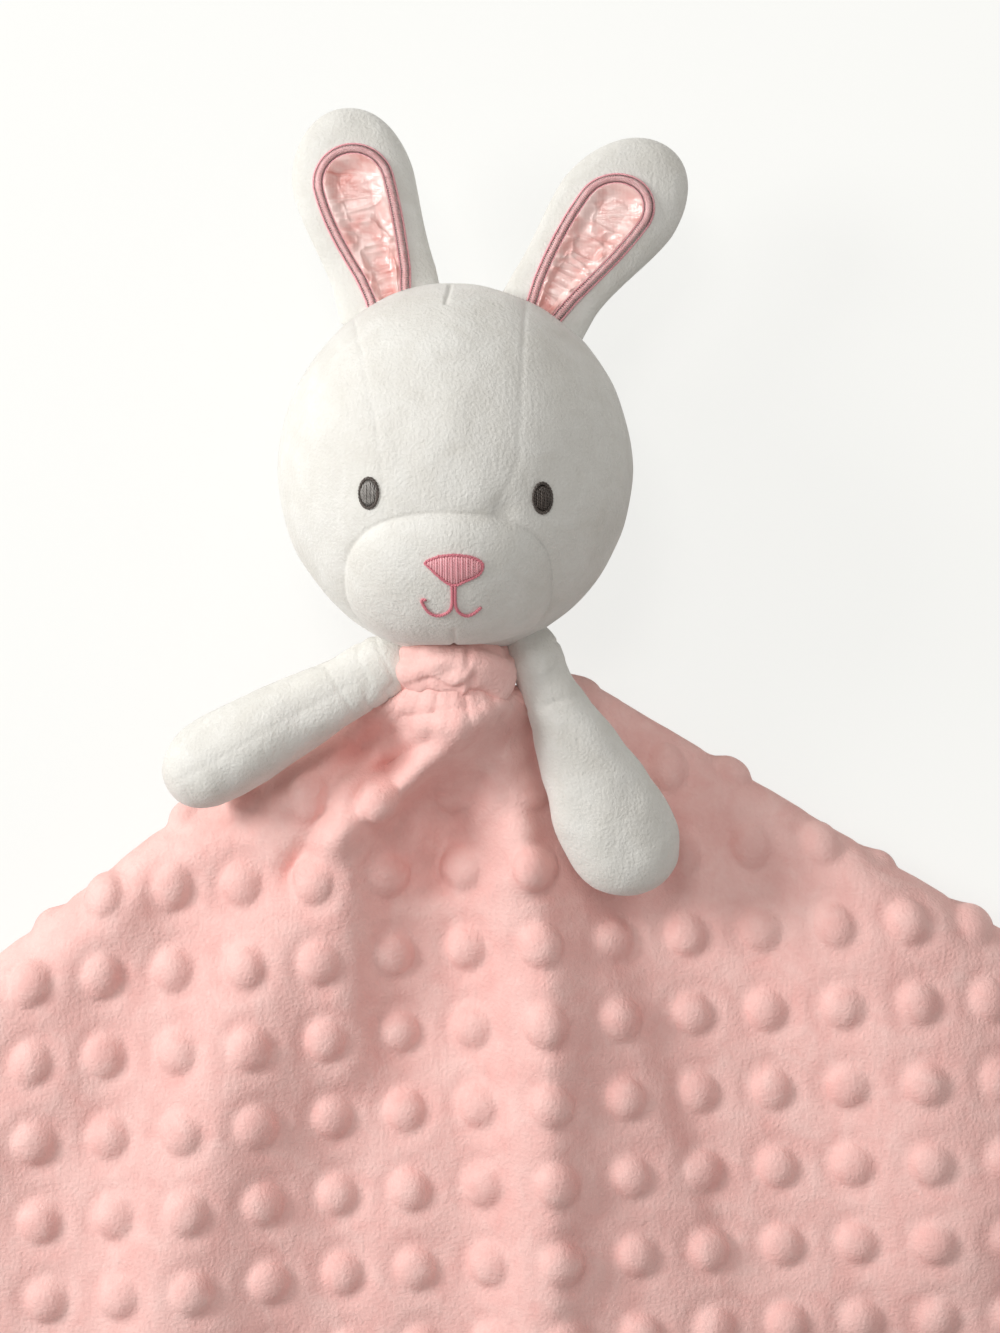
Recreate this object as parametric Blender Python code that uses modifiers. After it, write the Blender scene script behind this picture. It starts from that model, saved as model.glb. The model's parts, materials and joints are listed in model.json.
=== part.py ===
"""A comfort blanket lovey: a plush bunny head, two ears and two arms on a minky blanket gathered at the neck.

The toy lies on its back. +X is the viewer's right, +Y runs from the blanket's hem to the ear tips, and +Z
is up, out of the face. The origin is on the surface that it rests on, under the middle of the whole toy.
Lengths are in metres and angles in degrees.
"""

import math
from dataclasses import dataclass, replace

import bmesh
import bpy
from mathutils import Matrix, Vector

# Fits shared by all pieces
GAP = 0.0003
FLAT_CUT = 0.0005
OVERRUN = 0.0100
MERGE = 0.00001
CURVE_STEPS = 2
SHARP_ANGLE = 50.0

# The neck, from the middle of the toy, and the hinge that the head nods on, from the neck
NECK_X = -0.0114
NECK_Y = 0.0383
NECK_HINGE_Y = -0.0030
NECK_HINGE_RISE = 0.0110

# Head: a ball of fibre under a sewn cover. The muzzle's panel runs from below the middle to past the chin, and
# its bulge fades in over a share of the depth
HEAD_HALF_WIDTH = 0.0440
HEAD_HALF_HEIGHT = 0.0457
HEAD_HALF_DEPTH = 0.0412
HEAD_COVER = 0.0020
STUFFING_ROOM = 0.0007
HEAD_SEGMENTS = 32
HEAD_RINGS = 20
STUFFING_SEGMENTS = 24
STUFFING_RINGS = 14
MUZZLE_HALF_WIDTH = 0.0252
MUZZLE_TOP_DROP = 0.0130
MUZZLE_CHIN_OVERLAP = 0.0063
MUZZLE_BULGE = 0.0062
MUZZLE_X = -0.0012
MUZZLE_FADE_SHARE = 0.30
MUZZLE_SEGMENTS = 40

# Seam lines of the forehead gore, as shares of the head's half width and half height
LEFT_SEAM_SHARES = (
    (-0.57, 0.80),
    (-0.50, 0.56),
    (-0.44, 0.28),
    (-0.39, 0.00),
    (-0.37, -0.22),
    (-0.36, -0.44),
)
RIGHT_SEAM_SHARES = (
    (0.40, 0.92),
    (0.38, 0.50),
    (0.36, 0.10),
    (0.34, -0.04),
    (0.24, -0.25),
    (0.22, -0.44),
)

# Embroidery, placed by shares of the head's half width and half height. A mouth curl dips over a share of its
# reach, then turns up
STITCH_RINGS = 6
EYE_SEGMENTS = 16
NOSE_SEGMENTS = 18
EYE_HALF_WIDTH = 0.0024
EYE_HALF_HEIGHT = 0.0039
EYE_THICKNESS = 0.0010
LEFT_EYE_SHARES = (-0.455, -0.170)
RIGHT_EYE_SHARES = (0.484, -0.195)
NOSE_HALF_WIDTH = 0.0070
NOSE_HALF_HEIGHT = 0.0036
NOSE_THICKNESS = 0.0010
NOSE_SHARES = (0.009, -0.573)
NOSE_POINT_SHARE = 0.30
MOUTH_THREAD = 0.0007
MOUTH_STEM = 0.0052
MOUTH_HALF_WIDTH = 0.0074
MOUTH_DIP = 0.0022
MOUTH_DIP_SHARE = 0.80
MOUTH_TIP_SHARE = 0.80
MOUTH_STEPS = 7

# Ears: two plush skins round thin wadding, with a satin patch and its stitched border in front. The root's
# end is tried against the head at shares of its half width
EAR_HALF_WIDTH = 0.0156
EAR_ROOT_HALF_WIDTH = 0.0110
EAR_HALF_DEPTH = 0.0070
EAR_ROOT_HALF_DEPTH = 0.0048
EAR_SKIN = 0.0016
LEFT_EAR_LENGTH = 0.0445
RIGHT_EAR_LENGTH = 0.0470
EAR_SEGMENTS = 20
EAR_RINGS = 8
EAR_SWELL_SHARE = 0.55
EAR_SEAT_SHARES = (-1.0, -0.5, 0.0, 0.5, 1.0)
EAR_SEAT_DEPTH = 0.0045
EAR_ROOT_DROP = 0.0017
LEFT_EAR_TILT = 12.2
RIGHT_EAR_TILT = 28.7
LEFT_EAR_X = -0.0166
RIGHT_EAR_X = 0.0225
EAR_DROOP = 4.0
SATIN_HALF_WIDTH = 0.0064
SATIN_ROOT_HALF_WIDTH = 0.0038
SATIN_START = 0.0010
SATIN_RIM = 0.0138
SATIN_THICKNESS = 0.0006
SATIN_SPREAD_SHARE = 0.80
SATIN_COLUMNS = 4
SATIN_ROWS = 9
BORDER_RADIUS = 0.0012
BORDER_HEAD_SHARE = 0.40
BORDER_STEPS = 11

# Arms: two plush skins round a filling, with a ball end at the root
ARM_HALF_WIDTH = 0.0135
ARM_HALF_DEPTH = 0.0095
ARM_ROOT_RADIUS = 0.0060
ARM_SKIN = 0.0016
ARM_SWELL_SHARE = 0.70
ARM_SEGMENTS = 20
ARM_RINGS = 8
LEFT_ARM_LENGTH = 0.0590
RIGHT_ARM_LENGTH = 0.0615
LEFT_ARM_DIP = 29.2
RIGHT_ARM_DIP = 66.3
LEFT_ARM_ROLL = 90.0
RIGHT_ARM_ROLL = 0.0
ARM_DROOP = 8.5
ARM_ROOT_DROP = 0.0022

# A limb's rings lie closer towards its root, and a unit ball's values under this count as zero
ROOT_CROWDING = 1.5
NEAR_ZERO_SHARE = 0.001

# Neck: the collar roll, the thread under it and the wad of fibre inside
COLLAR_RADIUS = 0.0110
COLLAR_ROLL = 0.0046
COLLAR_RUFFLES = 7
COLLAR_RUFFLE_DEPTH = 0.0005
COLLAR_SEGMENTS = 28
COLLAR_SIDES = 8
COLLAR_HEAD_ROOM = 0.0012
NECK_WAD_RADIUS = 0.0054
NECK_WAD_SEGMENTS = 16
NECK_WAD_RINGS = 8
THREAD_RADIUS = 0.0005
THREAD_RING_RADIUS = 0.0108
NECK_RIM_ROOM = 0.0014

# Blanket: a square of minky with a lining, gathered at its middle and laid in a fan with its back half under
BLANKET_SIDE = 0.4200
GATHERED_RADIUS = 0.0220
MINKY = 0.0025
FAN_HALF_ANGLE = 59.5
FAN_TURN = 3.5
CLOTH_TURN = 4.0
BLANKET_TOP = 0.0150
HEM_TOP = 0.0110
FOLD_RADIUS = 0.0050
EDGE_ROUND = 0.0100
SHOULDER_LIFT_LEFT = 0.0130
SHOULDER_LIFT_RIGHT = 0.0180
SHOULDER_RISE_SHARE = 0.12
NECK_RING_RADIUS = 0.0118
NECK_SLOPE = 0.0400
NECK_SIDE_SLOPE = 0.0240
NECK_BACK_SLOPE = 0.0240
NECK_SIDE_SHARE = 0.60
EDGE_CROWDING_SHARE = 0.35
NECK_CROWDING = 1.4
ACROSS_STEPS = 22
DOWN_STEPS = 12
HEM_THREAD = 0.0006


@dataclass(frozen=True)
class Fold:
    """A ridge in the blanket's front: its line, width and height, as shares of half the blanket's side."""

    line_shares: tuple
    width_share: float
    height_share: float


FOLDS = (
    Fold(((0.072, -0.200), (0.105, -0.371), (0.114, -0.976)), 0.064, 0.052),
    Fold(((0.184, -0.470), (0.210, -0.976)), 0.110, 0.028),
    Fold(((-0.138, -0.220), (-0.238, -0.430), (-0.324, -0.690), (-0.360, -0.930)), 0.100, 0.052),
    Fold(((0.543, -0.379), (0.620, -0.620), (0.666, -0.835)), 0.130, 0.038),
    Fold(((0.038, -0.067), (-0.048, -0.148), (-0.138, -0.220)), 0.036, 0.028),
    Fold(((-0.157, -0.162), (-0.420, -0.290)), 0.050, 0.022),
    Fold(((-0.133, -0.230), (-0.133, -0.500)), 0.045, 0.020),
)


@dataclass(frozen=True)
class Finish:
    """The colour and surface of one material."""

    name: str
    colour: tuple
    roughness: float
    metallic: float = 0.0


PLUSH_WHITE = Finish("white_plush", (0.86, 0.85, 0.81, 1.0), 0.95)
FIBRE_WHITE = Finish("polyester_fibre", (0.90, 0.90, 0.90, 1.0), 1.0)
MINKY_PINK = Finish("pink_minky", (0.86, 0.56, 0.54, 1.0), 0.9)
LINING_PINK = Finish("pink_lining", (0.84, 0.58, 0.57, 1.0), 0.6)
SATIN_PINK = Finish("pink_satin", (0.82, 0.42, 0.38, 1.0), 0.3)
STITCH_PINK = Finish("pink_stitching", (0.75, 0.28, 0.32, 1.0), 0.5)
STITCH_DARK = Finish("dark_stitching", (0.07, 0.05, 0.04, 1.0), 0.5)


def ease(value):
    """A smooth step from 0 to 1 as the value goes from 0 to 1."""
    value = min(max(value, 0.0), 1.0)
    return value * value * (3.0 - 2.0 * value)


def mix(first, second, share):
    """The value or vector that lies this share of the way from the first to the second."""
    return first * (1.0 - share) + second * share


def arch(value):
    """A quarter circle that falls from 1 at 0 to 0 at 1."""
    return math.sqrt(max(1.0 - min(max(value, 0.0), 1.0) ** 2, 0.0))


def material(finish):
    """The material of this finish, made once."""
    found = bpy.data.materials.get(finish.name)
    if found:
        return found
    made = bpy.data.materials.new(finish.name)
    made.use_nodes = True
    made.diffuse_color = finish.colour
    shader = made.node_tree.nodes["Principled BSDF"]
    shader.inputs["Base Color"].default_value = finish.colour
    shader.inputs["Roughness"].default_value = finish.roughness
    shader.inputs["Metallic"].default_value = finish.metallic
    return made


def empty_scene():
    """Removes whatever the scene holds."""
    for obj in list(bpy.data.objects):
        bpy.data.objects.remove(obj, do_unlink=True)


def collection(name):
    """A new collection in the scene."""
    made = bpy.data.collections.new(name)
    bpy.context.scene.collection.children.link(made)
    return made


def link_mesh(name, mesh, finish, home, parent=None):
    """Turns a bmesh into an object of the given collection, with faces out and round shading."""
    bmesh.ops.recalc_face_normals(mesh, faces=mesh.faces)
    data = bpy.data.meshes.new(name)
    mesh.to_mesh(data)
    mesh.free()
    data.shade_smooth()
    data.set_sharp_from_angle(angle=math.radians(SHARP_ANGLE))
    obj = bpy.data.objects.new(name, data)
    obj.data.materials.append(material(finish))
    obj.parent = parent
    home.objects.link(obj)
    return obj


def joint_empty(name, matrix, home):
    """An empty at a joint, which carries the pieces that move there."""
    obj = bpy.data.objects.new(name, None)
    obj.matrix_world = matrix
    obj.empty_display_size = HEAD_COVER
    home.objects.link(obj)
    return obj


def carry(root, objects):
    """Hangs pieces that were made in place on a joint's empty."""
    for obj in objects:
        obj.data.transform(root.matrix_world.inverted())
        obj.parent = root


def ball(name, place, finish, home, segments, rings, parent=None):
    """A closed soft form: a unit ball whose points the place function moves."""
    mesh = bmesh.new()
    bmesh.ops.create_uvsphere(mesh, u_segments=segments, v_segments=rings, radius=1)
    for vert in mesh.verts:
        vert.co = place(vert.co)
    return link_mesh(name, mesh, finish, home, parent)


def half_shell(name, place, inner_place, cuts, finish, home, segments, rings, parent=None):
    """A soft skin: the part of a unit ball on the positive side of each cut, with an inner wall and a rim."""
    mesh = bmesh.new()
    bmesh.ops.create_uvsphere(mesh, u_segments=segments, v_segments=rings, radius=1)
    for normal in cuts:
        geometry = [*mesh.verts, *mesh.edges, *mesh.faces]
        bmesh.ops.bisect_plane(
            mesh, geom=geometry, dist=MERGE, plane_co=(0, 0, 0), plane_no=normal, clear_inner=True
        )
    outer = set(mesh.verts)
    bmesh.ops.extrude_face_region(mesh, geom=mesh.faces[:])
    for vert in mesh.verts:
        vert.co = place(vert.co) if vert in outer else inner_place(vert.co)
    return link_mesh(name, mesh, finish, home, parent)


def tube(name, points, radius, closed, finish, home, parent=None):
    """A thread or cord along the points, as a mesh with welded ends."""
    curve = bpy.data.curves.new(name, "CURVE")
    curve.dimensions = "3D"
    curve.bevel_depth = radius
    curve.bevel_resolution = CURVE_STEPS
    curve.use_fill_caps = True
    spline = curve.splines.new("POLY")
    spline.points.add(len(points) - 1)
    for target, point in zip(spline.points, points):
        target.co = (*point, 1.0)
    spline.use_cyclic_u = closed
    guide = bpy.data.objects.new(name + "_route", curve)
    home.objects.link(guide)
    bpy.context.view_layer.update()
    data = bpy.data.meshes.new_from_object(guide.evaluated_get(bpy.context.evaluated_depsgraph_get()))
    mesh = bmesh.new()
    mesh.from_mesh(data)
    bmesh.ops.remove_doubles(mesh, verts=mesh.verts, dist=MERGE)
    bpy.data.objects.remove(guide, do_unlink=True)
    return link_mesh(name, mesh, finish, home, parent)


def prism(name, outline, low, high, home):
    """An upright cutter with the given outline, from the low height to the high one."""
    mesh = bmesh.new()
    base = mesh.faces.new([mesh.verts.new((x, y, low)) for x, y in outline])
    raised = bmesh.ops.extrude_face_region(mesh, geom=[base])
    tops = [item for item in raised["geom"] if isinstance(item, bmesh.types.BMVert)]
    bmesh.ops.translate(mesh, verts=tops, vec=(0, 0, high - low))
    cutter = link_mesh(name, mesh, PLUSH_WHITE, home)
    cutter.hide_render = True
    cutter.display_type = "WIRE"
    return cutter


def cut(obj, cutter, operation):
    """Adds an exact Boolean to the object."""
    modifier = obj.modifiers.new(operation.lower() + "_" + cutter.name, "BOOLEAN")
    modifier.operation = operation
    modifier.solver = "EXACT"
    modifier.object = cutter


def head_middle():
    """The middle of the head. Its back is cut flat where it rests."""
    return Vector((NECK_X, NECK_Y + HEAD_HALF_HEIGHT, HEAD_HALF_DEPTH - FLAT_CUT))


def muzzle_y():
    """Where the middle of the muzzle lies, from the head's middle."""
    return -(HEAD_HALF_HEIGHT + MUZZLE_CHIN_OVERLAP + MUZZLE_TOP_DROP) / 2.0


def muzzle_half_height():
    """Half the height of the muzzle's panel."""
    return (HEAD_HALF_HEIGHT + MUZZLE_CHIN_OVERLAP - MUZZLE_TOP_DROP) / 2.0


def muzzle_rise(x, y):
    """How far the muzzle stands out of the ball, at a place measured from the head's middle."""
    across = (x - MUZZLE_X) / MUZZLE_HALF_WIDTH
    up = (y - muzzle_y()) / muzzle_half_height()
    return MUZZLE_BULGE * max(1.0 - across * across - up * up, 0.0)


def head_place(inset, lift=0.0):
    """Moves a unit ball's points onto the head, a wall's thickness inside its cover."""

    def place(unit):
        local = Vector(
            (
                unit.x * (HEAD_HALF_WIDTH - inset),
                unit.y * (HEAD_HALF_HEIGHT - inset),
                unit.z * (HEAD_HALF_DEPTH - inset),
            )
        )
        if unit.z > 0.0:
            local.z += muzzle_rise(local.x, local.y) * ease(unit.z / MUZZLE_FADE_SHARE)
        local.z += lift
        world = head_middle() + local
        world.z = max(world.z, inset)
        return world

    return place


def on_face(shares):
    """The place across and up from the head's middle at these shares of its half width and half height."""
    return shares[0] * HEAD_HALF_WIDTH, shares[1] * HEAD_HALF_HEIGHT


def face_point(x, y, lift):
    """A point this far above the front of the face, at a place measured from the head's middle."""

    def height(at_x, at_y):
        ball_share = 1.0 - (at_x / HEAD_HALF_WIDTH) ** 2 - (at_y / HEAD_HALF_HEIGHT) ** 2
        up = math.sqrt(max(ball_share, 0.0))
        return HEAD_HALF_DEPTH * up + muzzle_rise(at_x, at_y) * ease(up / MUZZLE_FADE_SHARE)

    step = MOUTH_THREAD
    slope_x = (height(x + step, y) - height(x - step, y)) / (2.0 * step)
    slope_y = (height(x, y + step) - height(x, y - step)) / (2.0 * step)
    normal = Vector((-slope_x, -slope_y, 1.0)).normalized()
    return head_middle() + Vector((x, y, height(x, y))) + normal * lift


def muzzle_outline(growth):
    """The muzzle's oval seam in world coordinates, grown outward by half the sewing gap."""
    middle = head_middle()
    corners = []
    for index in range(MUZZLE_SEGMENTS):
        turn = 2.0 * math.pi * index / MUZZLE_SEGMENTS
        across = (MUZZLE_HALF_WIDTH + growth) * math.cos(turn)
        up = (muzzle_half_height() + growth) * math.sin(turn)
        corners.append((middle.x + MUZZLE_X + across, middle.y + muzzle_y() + up))
    return corners


def seam_line(shares, shift):
    """A seam of the face in world coordinates, moved sideways by half the sewing gap."""
    middle = head_middle()
    return [
        (middle.x + x_share * HEAD_HALF_WIDTH + shift, middle.y + y_share * HEAD_HALF_HEIGHT)
        for x_share, y_share in shares
    ]


def make_head(parts, cutters):
    """The head's filling and the six panels of its cover."""
    middle = head_middle()
    filling = head_place(HEAD_COVER + STUFFING_ROOM)
    ball("head_stuffing", filling, FIBRE_WHITE, parts, STUFFING_SEGMENTS, STUFFING_RINGS)
    half = GAP / 2.0
    top = middle.y + HEAD_HALF_HEIGHT + OVERRUN
    foot = middle.y - HEAD_HALF_HEIGHT - OVERRUN
    left = middle.x - HEAD_HALF_WIDTH - OVERRUN
    right = middle.x + HEAD_HALF_WIDTH + OVERRUN
    ceiling = middle.z + HEAD_HALF_DEPTH + MUZZLE_BULGE + OVERRUN
    floor = middle.z - OVERRUN

    def closed_to_top(line):
        return [(line[0][0], top), *line, (line[-1][0], foot)]

    left_of_gore = closed_to_top(seam_line(LEFT_SEAM_SHARES, -half))
    gore_left = closed_to_top(seam_line(LEFT_SEAM_SHARES, half))
    gore_right = closed_to_top(seam_line(RIGHT_SEAM_SHARES, -half))
    right_of_gore = closed_to_top(seam_line(RIGHT_SEAM_SHARES, half))
    regions = {
        "forehead_panel": gore_left + gore_right[::-1],
        "face_panel_left": [(left, top), (left, foot), *left_of_gore[::-1]],
        "face_panel_right": [(right, foot), (right, top), *right_of_gore],
    }
    inside = muzzle_outline(-half)
    outside = muzzle_outline(half)
    muzzle_hole = prism("muzzle_hole_cutter", outside, floor, ceiling, cutters)
    for name, outline in regions.items():
        panel = face_shell(name, parts)
        cut(panel, muzzle_hole, "DIFFERENCE")
        cut(panel, prism(name + "_cutter", outline, floor, ceiling, cutters), "INTERSECT")
    muzzle = face_shell("muzzle_panel", parts)
    cut(muzzle, prism("muzzle_cutter", inside, floor, ceiling, cutters), "INTERSECT")
    for name, side in (("head_back_left", -1.0), ("head_back_right", 1.0)):
        half_shell(
            name,
            spread(head_place(0.0, -half), side),
            spread(head_place(HEAD_COVER, -half), side),
            ((0, 0, -1), (side, 0, 0)),
            PLUSH_WHITE,
            parts,
            HEAD_SEGMENTS,
            HEAD_RINGS,
        )


def face_shell(name, parts):
    """The whole front of the head's cover, before its panel is cut out."""
    return half_shell(
        name,
        head_place(0.0, GAP / 2.0),
        head_place(HEAD_COVER, GAP / 2.0),
        ((0, 0, 1),),
        PLUSH_WHITE,
        parts,
        HEAD_SEGMENTS,
        HEAD_RINGS,
    )


def spread(place, side):
    """The same place, moved sideways by half the sewing gap."""

    def moved(unit):
        return place(unit) + Vector((side * GAP / 2.0, 0.0, 0.0))

    return moved


def make_face(parts):
    """The embroidered eyes, nose and mouth."""
    for name, shares in (("eye_left", LEFT_EYE_SHARES), ("eye_right", RIGHT_EYE_SHARES)):
        x, y = on_face(shares)
        mesh = bmesh.new()
        bmesh.ops.create_uvsphere(mesh, u_segments=EYE_SEGMENTS, v_segments=STITCH_RINGS, radius=1)
        for vert in mesh.verts:
            rise = GAP + EYE_THICKNESS * (1.0 + vert.co.z) / 2.0
            vert.co = face_point(x + vert.co.x * EYE_HALF_WIDTH, y + vert.co.y * EYE_HALF_HEIGHT, rise)
        link_mesh(name, mesh, STITCH_DARK, parts)
    nose_x, nose_y = on_face(NOSE_SHARES)
    mesh = bmesh.new()
    bmesh.ops.create_uvsphere(mesh, u_segments=NOSE_SEGMENTS, v_segments=STITCH_RINGS, radius=1)
    for vert in mesh.verts:
        rise = GAP + NOSE_THICKNESS * (1.0 + vert.co.z) / 2.0
        narrowing = mix(1.0, NOSE_POINT_SHARE, ease((1.0 - vert.co.y) / 2.0))
        across = nose_x + vert.co.x * NOSE_HALF_WIDTH * (1.0 + NOSE_POINT_SHARE) * narrowing
        vert.co = face_point(across, nose_y + vert.co.y * NOSE_HALF_HEIGHT, rise)
    link_mesh("nose_embroidery", mesh, STITCH_PINK, parts)
    make_mouth(parts)


def make_mouth(parts):
    """The mouth's two curls and its stem, joined into one thread shape."""
    nose_x, nose_y = on_face(NOSE_SHARES)
    top = nose_y - NOSE_HALF_HEIGHT - MOUTH_THREAD - GAP
    foot = top - MOUTH_STEM
    lift = MOUTH_THREAD + GAP
    curls = []
    for index in range(2 * MOUTH_STEPS + 1):
        share = index / MOUTH_STEPS - 1.0
        dip = math.sin(math.pi * min(abs(share) / MOUTH_DIP_SHARE, 1.0))
        tip = MOUTH_TIP_SHARE * max(abs(share) - MOUTH_DIP_SHARE, 0.0) / (1.0 - MOUTH_DIP_SHARE)
        curls.append(face_point(nose_x + share * MOUTH_HALF_WIDTH, foot - MOUTH_DIP * (dip - tip), lift))
    mouth = tube("mouth_embroidery", curls, MOUTH_THREAD, False, STITCH_PINK, parts)
    stem = [face_point(nose_x, mix(top, foot, index / MOUTH_STEPS), lift) for index in range(MOUTH_STEPS + 1)]
    stem_tool = tube("mouth_stem", stem, MOUTH_THREAD, False, STITCH_PINK, bpy.data.collections["cutters"])
    stem_tool.hide_render = True
    stem_tool.display_type = "WIRE"
    cut(mouth, stem_tool, "UNION")


@dataclass(frozen=True)
class Limb:
    """The outer shape of an ear or an arm: a round root about the origin, with +Y running to its tip."""

    length: float
    half_width: float
    half_depth: float
    root_half_width: float
    root_half_depth: float
    swell_share: float
    round_root: bool

    def width_at(self, y, inset):
        """Half the width at this distance from the root's axis."""
        reach = self.length - inset
        widest = self.half_width - inset
        root = self.root_half_width - inset
        width = mix(root, widest, ease(y / (reach * self.swell_share)))
        if self.round_root and y < 0.0:
            width = root * arch(-y / root)
        return width * arch((y - reach + widest) / widest)

    def depth_at(self, y, inset):
        """Half the depth at this distance from the root's axis."""
        reach = self.length - inset
        root = self.root_half_depth - inset
        widest = self.half_width - inset
        if y < 0.0:
            return root * arch(-y / root)
        depth = mix(root, self.half_depth - inset, ease(y / (reach * self.swell_share)))
        return depth * arch((y - reach + widest) / widest)

    def height_at(self, x, y):
        """How high the front surface stands over the seam's plane."""
        return self.depth_at(y, 0.0) * arch(abs(x) / max(self.width_at(y, 0.0), MERGE))

    def surface_point(self, x, y, lift):
        """A point this far above the front surface."""
        step = GAP
        slope_x = (self.height_at(x + step, y) - self.height_at(x - step, y)) / (2.0 * step)
        slope_y = (self.height_at(x, y + step) - self.height_at(x, y - step)) / (2.0 * step)
        normal = Vector((-slope_x, -slope_y, 1.0)).normalized()
        return Vector((x, y, self.height_at(x, y) + GAP / 2.0)) + normal * lift

    def place(self, inset, lift):
        """Moves a unit ball's points onto the limb, a wall's thickness inside its skin."""

        def placed(unit):
            root = self.root_half_depth - inset
            y = mix(-root, self.length - inset, (max(unit.y + 1.0, 0.0) / 2.0) ** ROOT_CROWDING)
            ring = math.sqrt(max(1.0 - unit.y * unit.y, 0.0))
            across = unit.x / ring if ring > NEAR_ZERO_SHARE else 0.0
            side = math.copysign(1.0, unit.z) if abs(unit.z) > NEAR_ZERO_SHARE else 0.0
            x = self.width_at(y, inset) * across
            z = self.depth_at(y, inset) * arch(abs(across)) * side
            return Vector((x, y, z + lift))

        return placed


LEFT_EAR = Limb(
    LEFT_EAR_LENGTH,
    EAR_HALF_WIDTH,
    EAR_HALF_DEPTH,
    EAR_ROOT_HALF_WIDTH,
    EAR_ROOT_HALF_DEPTH,
    EAR_SWELL_SHARE,
    False,
)
RIGHT_EAR = replace(LEFT_EAR, length=RIGHT_EAR_LENGTH)
LEFT_ARM = Limb(
    LEFT_ARM_LENGTH, ARM_HALF_WIDTH, ARM_HALF_DEPTH, ARM_ROOT_RADIUS, ARM_ROOT_RADIUS, ARM_SWELL_SHARE, True
)
RIGHT_ARM = replace(LEFT_ARM, length=RIGHT_ARM_LENGTH)


def limb_skins(name, limb, skin, segments, rings, parts, parent):
    """The front and back skins of a limb and the filling between them."""
    for side_name, normal, lift in (("front", (0, 0, 1), GAP / 2.0), ("back", (0, 0, -1), -GAP / 2.0)):
        half_shell(
            name + "_" + side_name + "_skin",
            limb.place(0.0, lift),
            limb.place(skin, lift),
            (normal,),
            PLUSH_WHITE,
            parts,
            segments,
            rings,
            parent,
        )


def ear_root(start_x, tilt):
    """The world matrix of an ear's root, moved along the ear's line until its end clears the head."""
    along = Vector((math.sin(math.radians(tilt)), math.cos(math.radians(tilt)), 0.0))
    across = Vector((along.y, -along.x, 0.0))
    middle = head_middle()
    slope = HEAD_HALF_WIDTH * HEAD_HALF_WIDTH - start_x * start_x
    start = Vector((start_x, HEAD_HALF_HEIGHT * math.sqrt(slope) / HEAD_HALF_WIDTH, -EAR_ROOT_DROP))
    distance = max(
        EAR_SEAT_DEPTH + head_overlap(start + across * share * EAR_ROOT_HALF_WIDTH, along)
        for share in EAR_SEAT_SHARES
    )
    turn = Matrix.Rotation(-math.radians(tilt), 4, "Z") @ Matrix.Rotation(-math.radians(EAR_DROOP), 4, "X")
    return Matrix.Translation(middle + start + along * (distance + GAP)) @ turn


def head_overlap(point, along):
    """How far a point must move along a direction to leave the head's outline."""
    x = point.x / HEAD_HALF_WIDTH
    y = point.y / HEAD_HALF_HEIGHT
    step_x = along.x / HEAD_HALF_WIDTH
    step_y = along.y / HEAD_HALF_HEIGHT
    square = step_x * step_x + step_y * step_y
    middle = x * step_x + y * step_y
    rest = x * x + y * y - 1.0
    return (math.sqrt(max(middle * middle - square * rest, 0.0)) - middle) / square


def make_ear(name, ear, matrix, parts):
    """One ear about its root."""
    root = joint_empty(name + "_root", matrix, parts)
    limb_skins(name, ear, EAR_SKIN, EAR_SEGMENTS, EAR_RINGS, parts, root)
    ball(name + "_wadding", ear.place(EAR_SKIN + GAP, 0.0), FIBRE_WHITE, parts, EAR_SEGMENTS, EAR_RINGS, root)
    reach = ear.length - SATIN_RIM
    mesh = bmesh.new()
    bmesh.ops.create_grid(mesh, x_segments=SATIN_COLUMNS, y_segments=SATIN_ROWS, size=1)
    for vert in mesh.verts:
        across, up = vert.co.x, vert.co.y
        x, y = satin_place(across, up, reach)
        vert.co = ear.surface_point(x, y, GAP)
    satin = link_mesh(name + "_satin", mesh, SATIN_PINK, parts, root)
    thicken(satin, SATIN_THICKNESS)
    grown = BORDER_RADIUS + GAP
    border = []
    for index in range(-BORDER_STEPS, BORDER_STEPS + 1):
        share = index / BORDER_STEPS
        border.append(border_point(ear, share, reach, grown))
    tube(name + "_border", border, BORDER_RADIUS, False, STITCH_PINK, parts, root)


def satin_place(across, up, reach):
    """A place on the satin patch, for across and up from -1 to 1: a straight foot and a round head."""
    rise = max(up, 0.0)
    width = mix(SATIN_ROOT_HALF_WIDTH, SATIN_HALF_WIDTH, ease((up + 1.0) / 2.0 / SATIN_SPREAD_SHARE))
    x = width * across * math.sqrt(1.0 - rise * rise / 2.0)
    y = mix(SATIN_START, reach, (up * math.sqrt(1.0 - rise * across * across / 2.0) + 1.0) / 2.0)
    return x, y


def border_point(ear, share, reach, grown):
    """A point of the stitched border, up one side of the patch, round its head and down the other side."""
    size = abs(share)
    if size < BORDER_HEAD_SHARE:
        across = size / BORDER_HEAD_SHARE
        up = 1.0
    else:
        across = 1.0
        up = 1.0 - 2.0 * (size - BORDER_HEAD_SHARE) / (1.0 - BORDER_HEAD_SHARE)
    x, y = satin_place(across, up, reach)
    if size < BORDER_HEAD_SHARE:
        outward = Vector((x / SATIN_HALF_WIDTH, 1.0)).normalized()
    else:
        outward = Vector((1.0, max(up, 0.0))).normalized()
    x += outward.x * grown
    y += outward.y * grown
    return ear.surface_point(math.copysign(x, share), y, grown)


def thicken(obj, thickness):
    """Makes a solid sheet from an open surface, growing outward."""
    modifier = obj.modifiers.new("sheet", "SOLIDIFY")
    modifier.thickness = thickness
    modifier.offset = 1.0


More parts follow.
